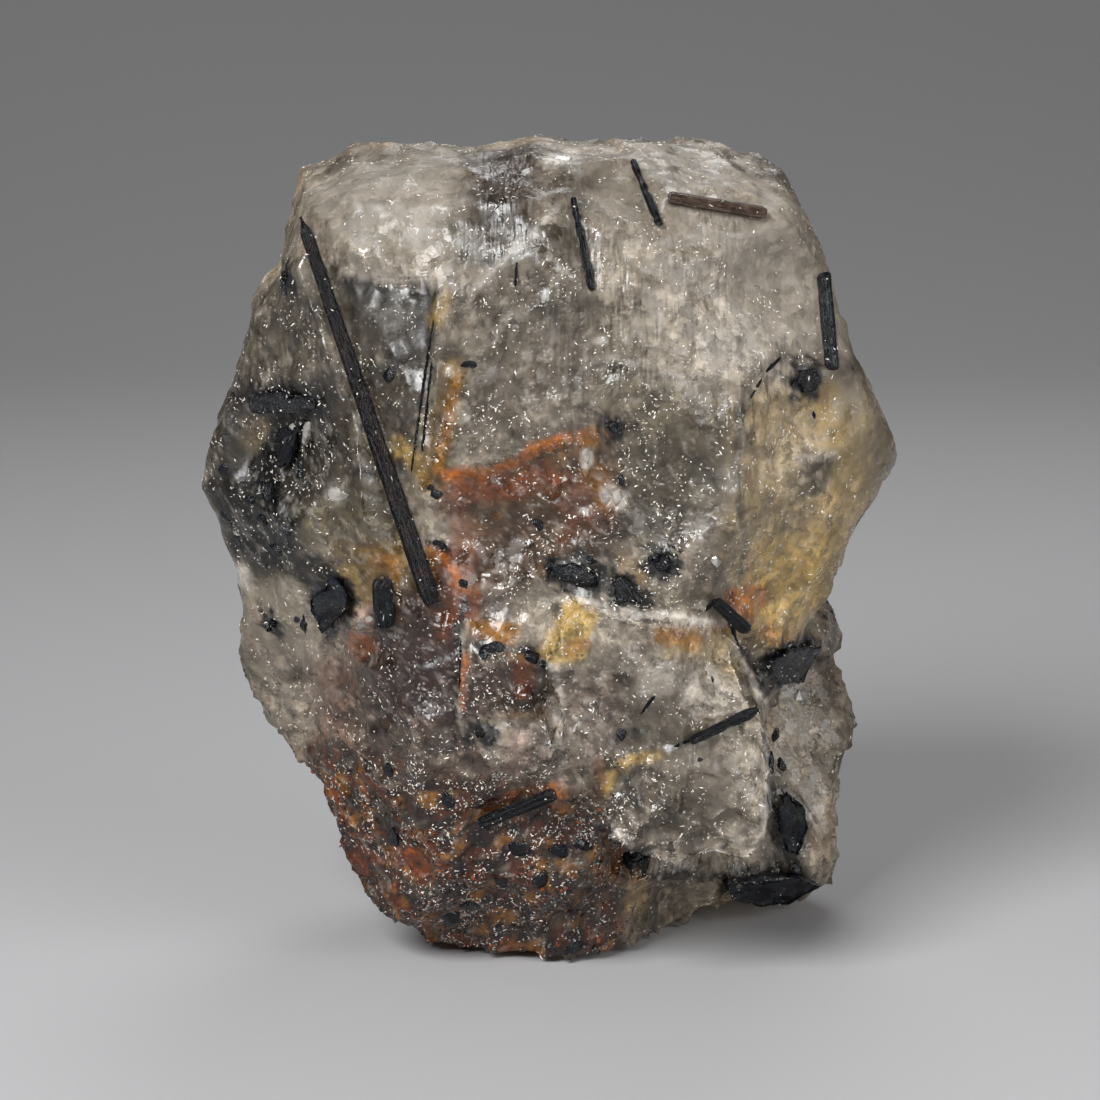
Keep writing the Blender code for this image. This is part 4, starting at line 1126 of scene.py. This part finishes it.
class QUARTZ_OT_stone(bpy.types.Operator):
    """Builds the quartz with its broken skin and its stains"""

    bl_idname = "quartz.stone"
    bl_label = "Quartz"

    def execute(self, context):
        settings = context.scene.quartz_stone
        ball, rays = stone_rays(settings)
        points = settled_points(rays)
        set_points(ball.data, points)
        depth = np.array([fine_skin(Vector(point)) for point in points]) + SKIN_INSET
        points = points - point_normals(ball.data) * depth[:, None]
        points[:, 2] = np.maximum(points[:, 2], 0.0)
        set_points(ball.data, points)
        stain_and_paint_light(ball.data, points)
        activate(ball)
        bpy.ops.object.shade_smooth()
        finish_piece(ball, "quartz_body", quartz_material(settings), ("quartz",))
        return {"FINISHED"}


# Crystals whose tip comes to a point, and the radius under which a rod is pinched in along its length
POINTED = ("long_needle", "top_needle")
THIN_ROD = 0.5
# Shares of a rod's radius: slow bulges, fine lines, shallow steps and where they start, pinches, and how far
# the broken end and the point draw in. A rod's ends are the last part of its half length past END_FROM
ROD_BULGE, ROD_LINE, ROD_STEP = 0.07, 0.06, 0.06
STEP_FROM = 0.28
PINCH_DEPTH = 0.8
END_FROM, END_DEPTH = 0.94, 0.22
POINT_FROM, POINT_DEPTH = 0.9, 0.8
# The ridged rods are this much of the solids' size, and these are painted sheens of light on some crystals
ROD_FIT = 0.99
BROWN_SHEEN = (0.11, 0.075, 0.055)
NEEDLE_SHEEN = (0.014, 0.007, 0.006)
GLOSSY_SHEEN = (0.010, 0.014, 0.022)
GLOSSY_CHUNKS = ("left_chunk", "right_wedge", "edge_crystal", "base_crystal")


def ridged_rod(settings, name, foot, tip, radii, sides, seed):
    """A long crystal with ridges along it, shallow steps across it and a broken end."""
    axis = tip - foot
    deselect_all()
    bpy.ops.mesh.primitive_cone_add(vertices=sides * 8, radius1=radii[0] * MM, radius2=radii[1] * MM,
                                    depth=axis.length * MM, end_fill_type="TRIFAN")
    rod = bpy.context.object
    bpy.ops.object.mode_set(mode="EDIT")
    shape = bmesh.from_edit_mesh(rod.data)
    bpy.ops.mesh.select_mode(type="EDGE")
    for edge in shape.edges:
        edge.select_set(edge.verts[0].co.z * edge.verts[1].co.z < 0)
    bmesh.update_edit_mesh(rod.data)
    bpy.ops.mesh.subdivide(number_cuts=max(8, int(axis.length * 3)))
    bpy.ops.object.mode_set(mode="OBJECT")
    points = mesh_points(rod.data)
    half = axis.length / 2
    grooves = np.zeros((len(points), 3))
    for index, (x, y, z) in enumerate(points):
        angle = math.atan2(y, x)
        turn = Vector((math.cos(angle), math.sin(angle), seed * 3.1))
        bulge = noise.noise(Vector((turn.x, turn.y, z * 0.5 + seed * 7.3)))
        line = noise.fractal(Vector((turn.x * 5, turn.y * 5, z * 0.12 + seed)), 0.8, 2.0, 3)
        step = noise.noise(Vector((turn.x * 0.6 + seed, turn.y * 0.6, z * 1.6)))
        ridge = 0.5 - 0.5 * math.cos(sides * angle)
        share = 1.0 - settings.ridge_depth * ridge + ROD_BULGE * bulge + ROD_LINE * line
        share -= ROD_STEP * (step > STEP_FROM)
        if max(radii) < THIN_ROD:
            pinch = noise.noise(Vector((seed * 1.7, turn.x * 0.3, z * 1.3)))
            share *= 1.0 - PINCH_DEPTH * max(0.0, pinch)
        ending = max(0.0, abs(z) / half - END_FROM) / 0.06
        share *= 1.0 - END_DEPTH * ending * (1 + turn.x * 0.8)
        if name in POINTED and z > 0:
            share *= 1.0 - POINT_DEPTH * fade(z / half, POINT_FROM, 1.0)
        points[index] = (x * share, y * share, z)
        grooves[index] = (turn.x * 9, turn.y * 9, z * 0.35)
    set_points(rod.data, points)
    add_attribute(rod.data, "groove", grooves)
    turn = axis.to_track_quat("Z", "Y").to_matrix().to_4x4()
    rod.data.transform(Matrix.Translation((foot + tip) / 2 * MM) @ turn)
    activate(rod)
    bpy.ops.object.shade_smooth_by_angle(angle=math.radians(50))
    rod.name = name
    return rod


class QUARTZ_OT_rods(bpy.types.Operator):
    """Builds the ridged tourmaline rods and needles that lie in open grooves"""

    bl_idname = "quartz.rods"
    bl_label = "Tourmaline rods"

    def execute(self, context):
        settings = context.scene.quartz_crystals
        black = crystal_material("Black tourmaline", settings.black, settings.blue, 0.2)
        brown = crystal_material("Brown tourmaline", settings.brown, BROWN_SHEEN, 0.8)
        needle = crystal_material("Needle tourmaline", settings.black, NEEDLE_SHEEN, 0.35)
        finishes = {"brown_rod": brown, "long_needle": needle}
        for seed, (name, foot, tip, foot_radius, tip_radius, sides) in enumerate(RODS):
            radii = (foot_radius * ROD_FIT, tip_radius * ROD_FIT)
            rod = ridged_rod(settings, name, Vector(foot), Vector(tip), radii, sides, seed)
            finish_piece(rod, name + "_ridged", finishes.get(name, black), (name,))
        return {"FINISHED"}


CHUNK_AXES = {
    "left_bar": (1, 0, -0.1), "left_leg": (0.3, 0, 1), "left_foot": (0, 0, 1), "left_chunk": (0.35, 0, 1),
    "centre_bar": (1, 0, -0.2), "centre_chunk": (0.6, 0, -1), "right_wedge": (1, 0, 0.25),
    "edge_crystal": (0.15, 0, 1), "base_crystal": (1, 0, -0.1), "right_knob": (0, 1, 0),
    "centre_knob": (0, 1, 0), "orange_knob": (0, 1, 0), "upper_left_knob": (0, 1, 0),
    "lower_left_knob": (0, 1, 0), "lower_knob": (0, 1, 0),
}


# Width of the chunks' worn edges, in metres, and how far a chunk's skin goes in, in millimetres: all over,
# in its grooves, in its chips and where more has broken away
WORN_EDGE = 0.16 * MM
CHUNK_INSET, CHUNK_GROOVE, CHUNK_CHIP, CHUNK_LOSS = 0.06, 0.10, 0.34, 0.8


def broken_chunk(name, axis):
    """A copy of a crystal's solid with worn edges, grooves along its axis and chipped faces."""
    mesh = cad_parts[name].data.copy()
    piece = new_object(name + "_worn", mesh)
    activate(piece)
    bpy.ops.object.mode_set(mode="EDIT")
    bpy.ops.mesh.select_all(action="SELECT")
    bpy.ops.mesh.remove_doubles(threshold=0.00001)
    bpy.ops.mesh.dissolve_limited(angle_limit=math.radians(2))
    bpy.ops.object.mode_set(mode="OBJECT")
    edge = piece.modifiers.new("Worn edge", "BEVEL")
    edge.width = WORN_EDGE
    edge.segments = 2
    edge.limit_method = "ANGLE"
    edge.angle_limit = math.radians(25)
    bpy.ops.object.modifier_apply(modifier=edge.name)
    bpy.ops.object.mode_set(mode="EDIT")
    bpy.ops.mesh.select_all(action="SELECT")
    bpy.ops.mesh.quads_convert_to_tris()
    bpy.ops.mesh.subdivide(number_cuts=5)
    bpy.ops.mesh.remove_doubles(threshold=0.000002)
    bpy.ops.object.mode_set(mode="OBJECT")
    points = mesh_points(mesh)
    normals = point_normals(mesh)
    unit = Vector(axis).normalized()
    side = unit.orthogonal().normalized()
    third = unit.cross(side)
    grooves = np.zeros((len(points), 3))
    for index, place in enumerate(points):
        place = Vector(place)
        along, out, up = place.dot(unit), place.dot(side), place.dot(third)
        line = noise.fractal(Vector((out * 2.2, up * 2.2, along * 0.25)), 0.8, 2.0, 3)
        chip = noise.voronoi(place / 1.1, distance_metric="DISTANCE_SQUARED")[0][0]
        lost = max(0.0, noise.noise(place / 1.5 + Vector((3, 8, 2))))
        chipped = 0.5 - min(chip, 0.5)
        inward = CHUNK_INSET + CHUNK_GROOVE * line + CHUNK_CHIP * chipped + CHUNK_LOSS * lost
        points[index] = points[index] - normals[index] * inward
        grooves[index] = (out * 6, up * 6, along * 0.5)
    set_points(mesh, points)
    add_attribute(mesh, "groove", grooves)
    activate(piece)
    bpy.ops.object.shade_smooth_by_angle(angle=math.radians(40))
    return piece


class QUARTZ_OT_chunks(bpy.types.Operator):
    """Wears and grooves the tourmaline chunks and the crystals that stand end-on"""

    bl_idname = "quartz.chunks"
    bl_label = "Tourmaline chunks"

    def execute(self, context):
        settings = context.scene.quartz_crystals
        finish = crystal_material("Chunk tourmaline", settings.black, settings.blue, 0.3)
        glossy = crystal_material("Glossy tourmaline", settings.black, GLOSSY_SHEEN, 0.15)
        for name, axis in CHUNK_AXES.items():
            piece = broken_chunk(name, axis)
            used = glossy if name in GLOSSY_CHUNKS else finish
            finish_piece(piece, name + "_worn", used, (name,))
        return {"FINISHED"}


# Small crystals that lie in the skin, and one black strip of painted shadow along a ridge: name, path on the
# view, half width and height above it in millimetres
STRIPS = (
    ("right_dash", ((813, 411), (815, 419)), 0.26, 0.12),
    ("twin_line_left", ((434, 318), (424, 380), (411, 474)), 0.20, 0.05),
    ("twin_line_right", ((432, 360), (427, 405), (422, 452)), 0.17, 0.05),
    ("hidden_needle", ((517, 258), (515, 290)), 0.20, 0.06),
    ("slab_dash", ((657, 693), (640, 715)), 0.20, 0.08),
    ("slab_dot", ((712, 676), (713, 683)), 0.16, 0.08),
    ("feather_needle", ((766, 372), (781, 357)), 0.17, 0.10),
    ("feather_root", ((748, 402), (763, 377)), 0.15, 0.05),
    ("blue_stub", ((460, 366), (470, 364), (477, 366)), 0.34, 0.15),
    ("left_dash", ((303, 614), (305, 636)), 0.16, 0.06),
    ("arc_left", ((705, 611), (711, 604), (718, 601)), 0.34, 0.16),
    ("arc_right", ((718, 601), (728, 612), (733, 628), (739, 650)), 0.26, 0.12),
    ("needle_side", ((429, 541), (440, 544), (449, 549)), 0.36, 0.12),
    # Painted shadow: a black strip along a ridge, where there is only shade
    ("ridge_shadow", ((461, 640), (459, 690)), 0.12, 0.03),
    ("slab_chip_line", ((672, 748), (698, 737)), 0.14, 0.05),
)
STRIP_SIDES = 10


def skin_strip(tree, path, half_width, proud):
    """A thin crystal that follows the skin along a path on the view, half sunk in it; also the strip of
    painted shadow on a ridge.
    """
    spots = []
    for start, end in zip(path, path[1:]):
        count = max(2, int(math.dist(start, end) / 5))
        for step in range(count):
            share = step / count
            spots.append((start[0] + (end[0] - start[0]) * share,
                          start[1] + (end[1] - start[1]) * share))
    spots.append(path[-1])
    rings, grooves = [], []
    along = 0.0
    last = None
    for index, spot in enumerate(spots):
        place, normal = seen_point(tree, *spot)
        ahead, _ = seen_point(tree, *spots[min(index + 1, len(spots) - 1)])
        behind, _ = seen_point(tree, *spots[max(index - 1, 0)])
        run = (ahead - behind).normalized()
        side = run.cross(normal).normalized()
        along += (place - last).length if last is not None else 0.0
        last = place
        ending = 0.55 if index in (0, len(spots) - 1) else 1.0
        width = half_width * ending * (1 + 0.22 * noise.noise(place * 1.3))
        centre = place + normal * (proud - half_width)
        for turn in range(STRIP_SIDES):
            angle = 2 * math.pi * turn / STRIP_SIDES
            rough = 1 + 0.16 * noise.noise(place * 3 + Vector((turn, 0, 0)))
            rings.append(centre + (side * math.cos(angle) + normal * math.sin(angle)) * width * rough)
            grooves.append((math.cos(angle) * 6, math.sin(angle) * 6, along * 0.4))
    return rings, grooves


def strip_piece(name, rings, grooves):
    """A closed tube through rings of points."""
    sides = STRIP_SIDES
    shape = bmesh.new()
    points = [shape.verts.new(point * MM) for point in rings]
    count = len(points) // sides
    for ring in range(count - 1):
        for turn in range(sides):
            a, b = ring * sides + turn, ring * sides + (turn + 1) % sides
            shape.faces.new((points[a], points[b], points[b + sides], points[a + sides]))
    shape.faces.new(points[:sides])
    shape.faces.new(points[-sides:])
    bmesh.ops.recalc_face_normals(shape, faces=shape.faces)
    mesh = bpy.data.meshes.new(name)
    shape.to_mesh(mesh)
    shape.free()
    add_attribute(mesh, "groove", np.array(grooves))
    piece = new_object(name, mesh)
    activate(piece)
    bpy.ops.object.shade_smooth_by_angle(angle=math.radians(50))
    return piece


class QUARTZ_OT_needles(bpy.types.Operator):
    """Builds the hair-thin crystals and dashes that lie in the skin, and the black strip of painted shadow
    along a ridge
    """

    bl_idname = "quartz.needles"
    bl_label = "Hair-thin crystals"

    def execute(self, context):
        tree = tree_of(bpy.data.objects["quartz_body"])
        finish = bpy.data.materials["Black tourmaline"]
        for name, path, half_width, proud in STRIPS:
            rings, grooves = skin_strip(tree, path, half_width, proud)
            piece = strip_piece(name, rings, grooves)
            finish_piece(piece, name, finish)
        return {"FINISHED"}


# Black lumps too small for solids: place on the view, radii across and up in millimetres, turn in degrees
DOTS = (
    (539, 525, 0.42, 0.55, 20), (550, 567, 0.60, 0.55, 0), (223, 470, 0.45, 0.6, 0),
    (304, 626, 0.55, 0.42, 40), (297, 620, 0.3, 0.3, 0), (462, 583, 0.42, 0.5, 0),
    (435, 493, 0.5, 0.42, 0), (430, 487, 0.32, 0.28, 0), (483, 652, 0.5, 0.8, -30),
    (495, 647, 0.7, 0.55, 0), (534, 658, 0.62, 0.7, 30),
    (543, 664, 0.35, 0.4, 0), (555, 572, 0.5, 0.45, 0), (623, 734, 0.4, 0.55, 20), (575, 946, 1.1, 0.7, 0),
    (632, 858, 1.25, 0.85, -20), (645, 862, 0.7, 0.8, 0), (388, 770, 0.85, 0.8, 0), (395, 838, 0.9, 1.3, 0),
    (470, 905, 0.8, 0.6, 0), (450, 918, 0.9, 0.9, 0), (585, 845, 0.9, 0.8, 0), (447, 800, 0.6, 0.6, 0),
    (560, 850, 0.8, 0.6, 0), (520, 850, 1.1, 0.8, 0), (500, 880, 0.9, 0.8, 0), (540, 880, 0.8, 0.9, 0),
    (590, 560, 0.5, 0.4, 0), (830, 603, 0.25, 0.3, 0), (825, 617, 0.28, 0.25, 0), (841, 615, 0.28, 0.28, 0),
    (388, 373, 0.5, 0.6, 0), (622, 480, 0.3, 0.4, 0), (700, 760, 0.2, 0.2, 0),
    (240, 540, 0.7, 0.9, 10), (262, 520, 0.8, 0.6, 0), (275, 548, 0.9, 0.6, 0), (228, 520, 0.5, 0.9, 0),
    (250, 500, 0.6, 0.5, 0), (285, 530, 0.6, 0.6, 0), (300, 470, 0.4, 0.7, 0), (770, 760, 0.4, 0.8, 0),
    (776, 735, 0.35, 0.7, 0), (781, 765, 0.4, 0.6, 0), (795, 870, 0.8, 0.7, 0), (650, 560, 0.3, 0.3, 0),
)


def lump_points(seed):
    """The points and faces of a little lump with flat broken faces."""
    rng = np.random.default_rng(seed)
    shape = bmesh.new()
    bmesh.ops.create_icosphere(shape, subdivisions=3, radius=1.0)
    points = np.array([vertex.co[:] for vertex in shape.verts])
    faces = np.array([[vertex.index for vertex in face.verts] for face in shape.faces])
    shape.free()
    planes = rng.normal(size=(11, 3))
    planes /= np.linalg.norm(planes, axis=1)[:, None]
    facing = np.maximum(points @ planes.T, 0.05)
    reach = (rng.uniform(0.55, 0.95, 11) / facing).min(axis=1)
    return points * np.minimum(reach, 1.25)[:, None], faces


def joined_mesh(name, parts):
    """One object from many sets of points and faces."""
    points, faces, start = [], [], 0
    for part_points, part_faces in parts:
        points.append(part_points)
        faces.append(part_faces + start)
        start += len(part_points)
    mesh = bpy.data.meshes.new(name)
    mesh.from_pydata((np.vstack(points) * MM).tolist(), [], np.vstack(faces).tolist())
    mesh.update()
    return new_object(name, mesh)


def skin_frame(normal, turn=0.0):
    """Side, up and outward axes on the skin, as rows."""
    out = Vector(normal).normalized()
    side = Vector((0, 0, 1)).cross(out)
    side = side.normalized() if side.length > 0.01 else Vector((1, 0, 0))
    up = out.cross(side)
    c, s = math.cos(turn), math.sin(turn)
    return np.array([side * c + up * s, up * c - side * s, out])


class QUARTZ_OT_dots(bpy.types.Operator):
    """Builds the black lumps and dots that are too small to be solids"""

    bl_idname = "quartz.dots"
    bl_label = "Black dots"

    def execute(self, context):
        tree = tree_of(bpy.data.objects["quartz_body"])
        parts = []
        for seed, (across, down, wide, tall, turn) in enumerate(DOTS):
            place, normal = seen_point(tree, across, down)
            points, faces = lump_points(seed)
            points = points * np.array((wide, tall, 0.5 * min(wide, tall)))
            points = points @ skin_frame(normal, math.radians(turn)) + np.array(place)
            parts.append((points, faces))
        piece = joined_mesh("black_dots", parts)
        add_attribute(piece.data, "groove", mesh_points(piece.data) * 2)
        finish_piece(piece, "black_dots", bpy.data.materials["Chunk tourmaline"])
        return {"FINISHED"}


def scattered(mesh, density, rng):
    """Random places on a mesh, with their normals, so many to the square millimetre at each point."""
    mesh.calc_loop_triangles()
    corners = np.empty(len(mesh.loop_triangles) * 3, np.int32)
    mesh.loop_triangles.foreach_get("vertices", corners)
    corners = corners.reshape(-1, 3)
    points = mesh_points(mesh)
    a, b, c = (points[corners[:, side]] for side in range(3))
    across = np.cross(b - a, c - a)
    size = np.linalg.norm(across, axis=1)
    wanted = size / 2 * density[corners].mean(axis=1)
    counts = rng.poisson(wanted)
    picked = np.repeat(np.arange(len(corners)), counts)
    u, v = rng.random(len(picked)), rng.random(len(picked))
    over = u + v > 1
    u[over], v[over] = 1 - u[over], 1 - v[over]
    spots = a[picked] + u[:, None] * (b - a)[picked] + v[:, None] * (c - a)[picked]
    return spots, across[picked] / (size[picked][:, None] + 1e-12)


def grain_shape(fine):
    """A little grain, made once and copied: a four-sided shard if it is fine, otherwise eight-sided."""
    deselect_all()
    if fine:
        bpy.ops.mesh.primitive_cone_add(vertices=3, radius1=1.1, depth=1.7)
    else:
        bpy.ops.mesh.primitive_uv_sphere_add(segments=4, ring_count=2, radius=1.0)
    grain = bpy.context.object
    points = mesh_points(grain.data) * MM
    grain.data.calc_loop_triangles()
    faces = np.array([triangle.vertices[:] for triangle in grain.data.loop_triangles])
    bpy.data.objects.remove(grain, do_unlink=True)
    return points, faces


def grain_piece(name, spots, normals, halves, rng, sink=0.3, longer=0.0):
    """One mesh of many grains, each turned, skewed and sized its own way. longer draws some out."""
    shapes = {fine: grain_shape(fine) for fine in (True, False)}
    parts = []
    turns = rng.random(len(spots)) * math.pi * 2
    for spot, normal, half, turn in zip(spots, normals, halves, turns):
        points, faces = shapes[half < FINE_GRAIN]
        long = 1.0 + longer * rng.random() ** 3
        stretch = half * np.array((long, 0.22 + 0.45 * rng.random(), 0.30 + 0.2 * rng.random()))
        shape = points * (1 + 0.3 * (rng.random(points.shape) - 0.5))
        rows = skin_frame(normal, turn)
        placed = (shape * stretch) @ rows + spot - normal * half * sink * 0.3
        parts.append((placed, faces))
    return joined_mesh(name, parts)


class QUARTZ_OT_grains(bpy.types.Operator):
    """Scatters the white sugary grains, and the rusty and black crumbs of the foot"""

    bl_idname = "quartz.grains"
    bl_label = "Sugary grains"

    def execute(self, context):
        settings = context.scene.quartz_grains
        rng = np.random.default_rng(settings.seed)
        stone = bpy.data.objects["quartz_body"]
        points = mesh_points(stone.data)
        across, down = view_place(points)
        front = on_front(points)
        clumps = clouds(points, 2.4, 0.8, 2.1, 3)
        dense = strongest(DUST, across, down, 1.6)
        dense = (dense * front + DUST_BEHIND * (1 - front)) * np.clip(0.45 + 2.2 * clumps, 0.04, 3.0)
        above = fade(points[:, 2], 0.3, 1.0)
        small, large = settings.small / MM, settings.large / MM
        spots, normals = scattered(stone.data, dense * above * DUST_AMOUNT, rng)
        for name in (*CHUNK_AXES, *(rod[0] for rod in RODS)):
            crystal = bpy.data.objects.get(name + "_worn") or bpy.data.objects[name + "_ridged"]
            evenly = np.full(len(crystal.data.vertices), CRYSTAL_DUST)
            more_spots, more_normals = scattered(crystal.data, evenly, rng)
            spots, normals = np.vstack([spots, more_spots]), np.vstack([normals, more_normals])
        halves = small + (large - small) * rng.random(len(spots)) ** GRAIN_POWER
        sugar = grain_material("White sugar", WHITE_TONES, 0.25)
        from_below = np.argsort(spots[:, 2])
        for name, share in zip(SUGAR_BANDS, np.array_split(from_below, len(SUGAR_BANDS))):
            white = grain_piece(name, spots[share], normals[share], halves[share], rng, longer=SPLINTERS)
            finish_piece(white, name, sugar)
        foot = fade(-points[:, 2], -17.0, -12.0) * fade(-points[:, 0], -8.0, -4.0) * above
        for name, count, tones in CRUMBS:
            spots, normals = scattered(stone.data, foot * count * np.clip(0.5 + 2 * clumps, 0, 2), rng)
            halves = CRUMB_SMALLEST + CRUMB_RANGE * rng.random(len(spots)) ** CRUMB_POWER
            crumbs = grain_piece(name, spots, normals, halves, rng, sink=0.6)
            finish_piece(crumbs, name, grain_material(name.replace("_", " "), tones, 0.4))
        return {"FINISHED"}


# Bright flakes and chips of clear quartz on the front: corners on the view and how far they stand out
CHIPS = (
    (((301, 446), (305, 421), (310, 420), (311, 436), (305, 448)), 0.25),
    (((288, 425), (293, 422), (298, 428), (295, 436)), 0.22),
    (((279, 468), (285, 466), (281, 474)), 0.2),
    (((354, 622), (360, 613), (371, 610), (375, 620), (372, 634), (360, 633)), 0.35),
    (((325, 492), (330, 485), (343, 486), (350, 495), (343, 503), (329, 502)), 0.2),
    (((228, 560), (240, 568), (252, 576), (250, 590), (241, 600), (232, 583)), 0.25),
    (((547, 162), (553, 156), (568, 153), (575, 158), (570, 166), (556, 169)), 0.2),
    (((581, 451), (587, 447), (592, 455), (588, 466), (582, 460)), 0.25),
    (((599, 492), (607, 488), (612, 497), (605, 507)), 0.25),
    (((611, 491), (620, 489), (623, 500), (614, 507)), 0.25),
    (((793, 694), (798, 688), (808, 692), (803, 703), (794, 702)), 0.2),
    (((630, 614), (640, 610), (648, 616), (640, 623), (630, 620)), 0.2),
    (((708, 560), (716, 555), (724, 561), (716, 569)), 0.2),
    (((690, 372), (698, 374), (698, 381), (691, 380)), 0.2),
)
CHIP_TONES = ((0.72, 0.69, 0.64), (0.36, 0.33, 0.30))


def chip_piece(tree, corners, proud):
    """A low broken flake on the skin: its rim is sunk and its faces meet at a ridge off its middle."""
    places = [seen_point(tree, *corner) for corner in corners]
    middle = sum((place for place, _ in places), Vector()) / len(places)
    normal = sum((normal for _, normal in places), Vector()).normalized()
    points = [place - normal * 0.15 for place, _ in places]
    points += [place.lerp(middle, 0.35) + normal * proud * (0.5 + 0.5 * (index % 2))
               for index, (place, _) in enumerate(places)]
    points += [middle - normal * 0.5]
    shape = bmesh.new()
    for point in points:
        shape.verts.new(point)
    hull = bmesh.ops.convex_hull(shape, input=shape.verts)
    spare = [item for item in hull["geom_interior"] if isinstance(item, bmesh.types.BMVert)]
    bmesh.ops.delete(shape, geom=spare, context="VERTS")
    bmesh.ops.triangulate(shape, faces=shape.faces)
    bmesh.ops.recalc_face_normals(shape, faces=shape.faces)
    shape.verts.index_update()
    found = np.array([vertex.co[:] for vertex in shape.verts])
    faces = np.array([[vertex.index for vertex in face.verts] for face in shape.faces])
    shape.free()
    return found, faces


class QUARTZ_OT_chips(bpy.types.Operator):
    """Sets the bright flakes and chips of clear quartz"""

    bl_idname = "quartz.chips"
    bl_label = "Clear chips"

    def execute(self, context):
        tree = tree_of(bpy.data.objects["quartz_body"])
        chips = [chip_piece(tree, corners, proud) for corners, proud in CHIPS]
        clear = grain_material("Clear chip", CHIP_TONES, 0.12, see_through=0.5)
        finish_piece(joined_mesh("clear_chips", chips), "clear_chips", clear)
        return {"FINISHED"}


class StageSettings(bpy.types.PropertyGroup):
    """Floor and light."""

    floor: FloatVectorProperty(name="Floor", description="Colour of the floor", subtype="COLOR", size=3,
                               default=(0.40, 0.40, 0.41), min=0.0, max=1.0)
    key: FloatProperty(name="Key light", description="Power of the light at the upper left", default=2.5,
                       unit="POWER")
    rim: FloatProperty(name="Rim light", description="Power of the light behind the stone", default=0.4,
                       unit="POWER")
    fill: FloatProperty(name="Fill light", description="Power of the light at the right", default=1.1,
                        unit="POWER")
    sky: FloatProperty(name="Sky", description="Brightness all around", default=0.13, min=0.0)


# The floor runs flat to this far behind the stone, then rises in an arc
SWEEP_START = 0.35
SWEEP_RADIUS = 0.40
# The lights: name, place and size in metres
LAMPS = (
    ("key", (-0.17, -0.30, 0.28), 0.20),
    ("rim", (0.05, 0.24, 0.32), 0.20),
    ("fill", (0.34, -0.26, 0.16), 0.30),
)
SKY_COLOUR = (1.0, 0.985, 0.96, 1.0)


def area_light(name, place, size, power):
    """A round soft light that shines on the stone."""
    lamp = bpy.data.lights.new(name, "AREA")
    lamp.shape = "DISK"
    lamp.size = size
    lamp.energy = power
    holder = new_object(name, lamp)
    holder.location = Vector(place)
    aim = VIEW_TARGET * MM - Vector(place)
    holder.rotation_euler = aim.to_track_quat("-Z", "Y").to_euler()


class QUARTZ_OT_stage(bpy.types.Operator):
    """Sets the floor, the soft lights and the camera"""

    bl_idname = "quartz.stage"
    bl_label = "Stage"

    def execute(self, context):
        settings = context.scene.quartz_stage
        deselect_all()
        bpy.ops.mesh.primitive_grid_add(x_subdivisions=2, y_subdivisions=120, size=3.0)
        floor = context.object
        floor.name = "floor"
        for vertex in floor.data.vertices:
            past = max(0.0, vertex.co.y - SWEEP_START)
            turn = min(past / SWEEP_RADIUS, math.pi / 2)
            vertex.co.y = min(vertex.co.y, SWEEP_START) + SWEEP_RADIUS * math.sin(turn)
            vertex.co.z = SWEEP_RADIUS * (1 - math.cos(turn)) + max(0.0, past - SWEEP_RADIUS * math.pi / 2)
        activate(floor)
        bpy.ops.object.shade_smooth()
        material, _, shader = new_material("Pale floor", Roughness=0.75)
        shader.inputs["Base Color"].default_value = (*settings.floor, 1.0)
        floor.data.materials.append(material)
        for name, place, size in LAMPS:
            area_light(name, place, size, getattr(settings, name))
        world = bpy.data.worlds.new("Soft sky")
        world.use_nodes = True
        background = world.node_tree.nodes["Background"]
        background.inputs["Color"].default_value = SKY_COLOUR
        background.inputs["Strength"].default_value = settings.sky
        context.scene.world = world
        context.scene.view_settings.view_transform = "Standard"
        back, _, _ = view_axes()
        lens = bpy.data.cameras.new("view")
        lens.sensor_width = SENSOR_WIDTH
        lens.lens = SENSOR_WIDTH * VIEW_DISTANCE / (2 * VIEW_MIDDLE * VIEW_UNIT)
        lens.clip_start = 0.01
        eye = new_object("view", lens)
        eye.location = (VIEW_TARGET + back * VIEW_DISTANCE) * MM
        eye.rotation_mode = "QUATERNION"
        eye.rotation_quaternion = (-back).to_track_quat("-Z", "Y")
        context.scene.camera = eye
        return {"FINISHED"}


class QUARTZ_PT_sidebar(bpy.types.Panel):
    """Lists the stone's builders and their settings"""

    bl_idname = "QUARTZ_PT_sidebar"
    bl_label = "Tourmalinated quartz"
    bl_space_type = "VIEW_3D"
    bl_region_type = "UI"
    bl_category = "Quartz"

    def draw(self, context):
        for operator in BUILDERS:
            self.layout.operator(operator.bl_idname)
        for name, group in SETTINGS.items():
            box = self.layout.box()
            for key in group.__annotations__:
                box.prop(getattr(context.scene, name), key)


SETTINGS = {
    "quartz_stone": StoneSettings,
    "quartz_crystals": CrystalSettings,
    "quartz_grains": GrainSettings,
    "quartz_stage": StageSettings,
}
BUILDERS = (
    QUARTZ_OT_stone,
    QUARTZ_OT_rods,
    QUARTZ_OT_chunks,
    QUARTZ_OT_needles,
    QUARTZ_OT_dots,
    QUARTZ_OT_chips,
    QUARTZ_OT_grains,
    QUARTZ_OT_stage,
)


def register():
    for made in (*SETTINGS.values(), *BUILDERS, QUARTZ_PT_sidebar):
        bpy.utils.register_class(made)
    for name, group in SETTINGS.items():
        setattr(bpy.types.Scene, name, PointerProperty(type=group))


def unregister():
    for name in SETTINGS:
        delattr(bpy.types.Scene, name)
    for made in (QUARTZ_PT_sidebar, *reversed(BUILDERS), *SETTINGS.values()):
        bpy.utils.unregister_class(made)


def main():
    register()
    for operator in BUILDERS:
        family, name = operator.bl_idname.split(".")
        getattr(getattr(bpy.ops, family), name)()


if __name__ == "__main__":
    main()
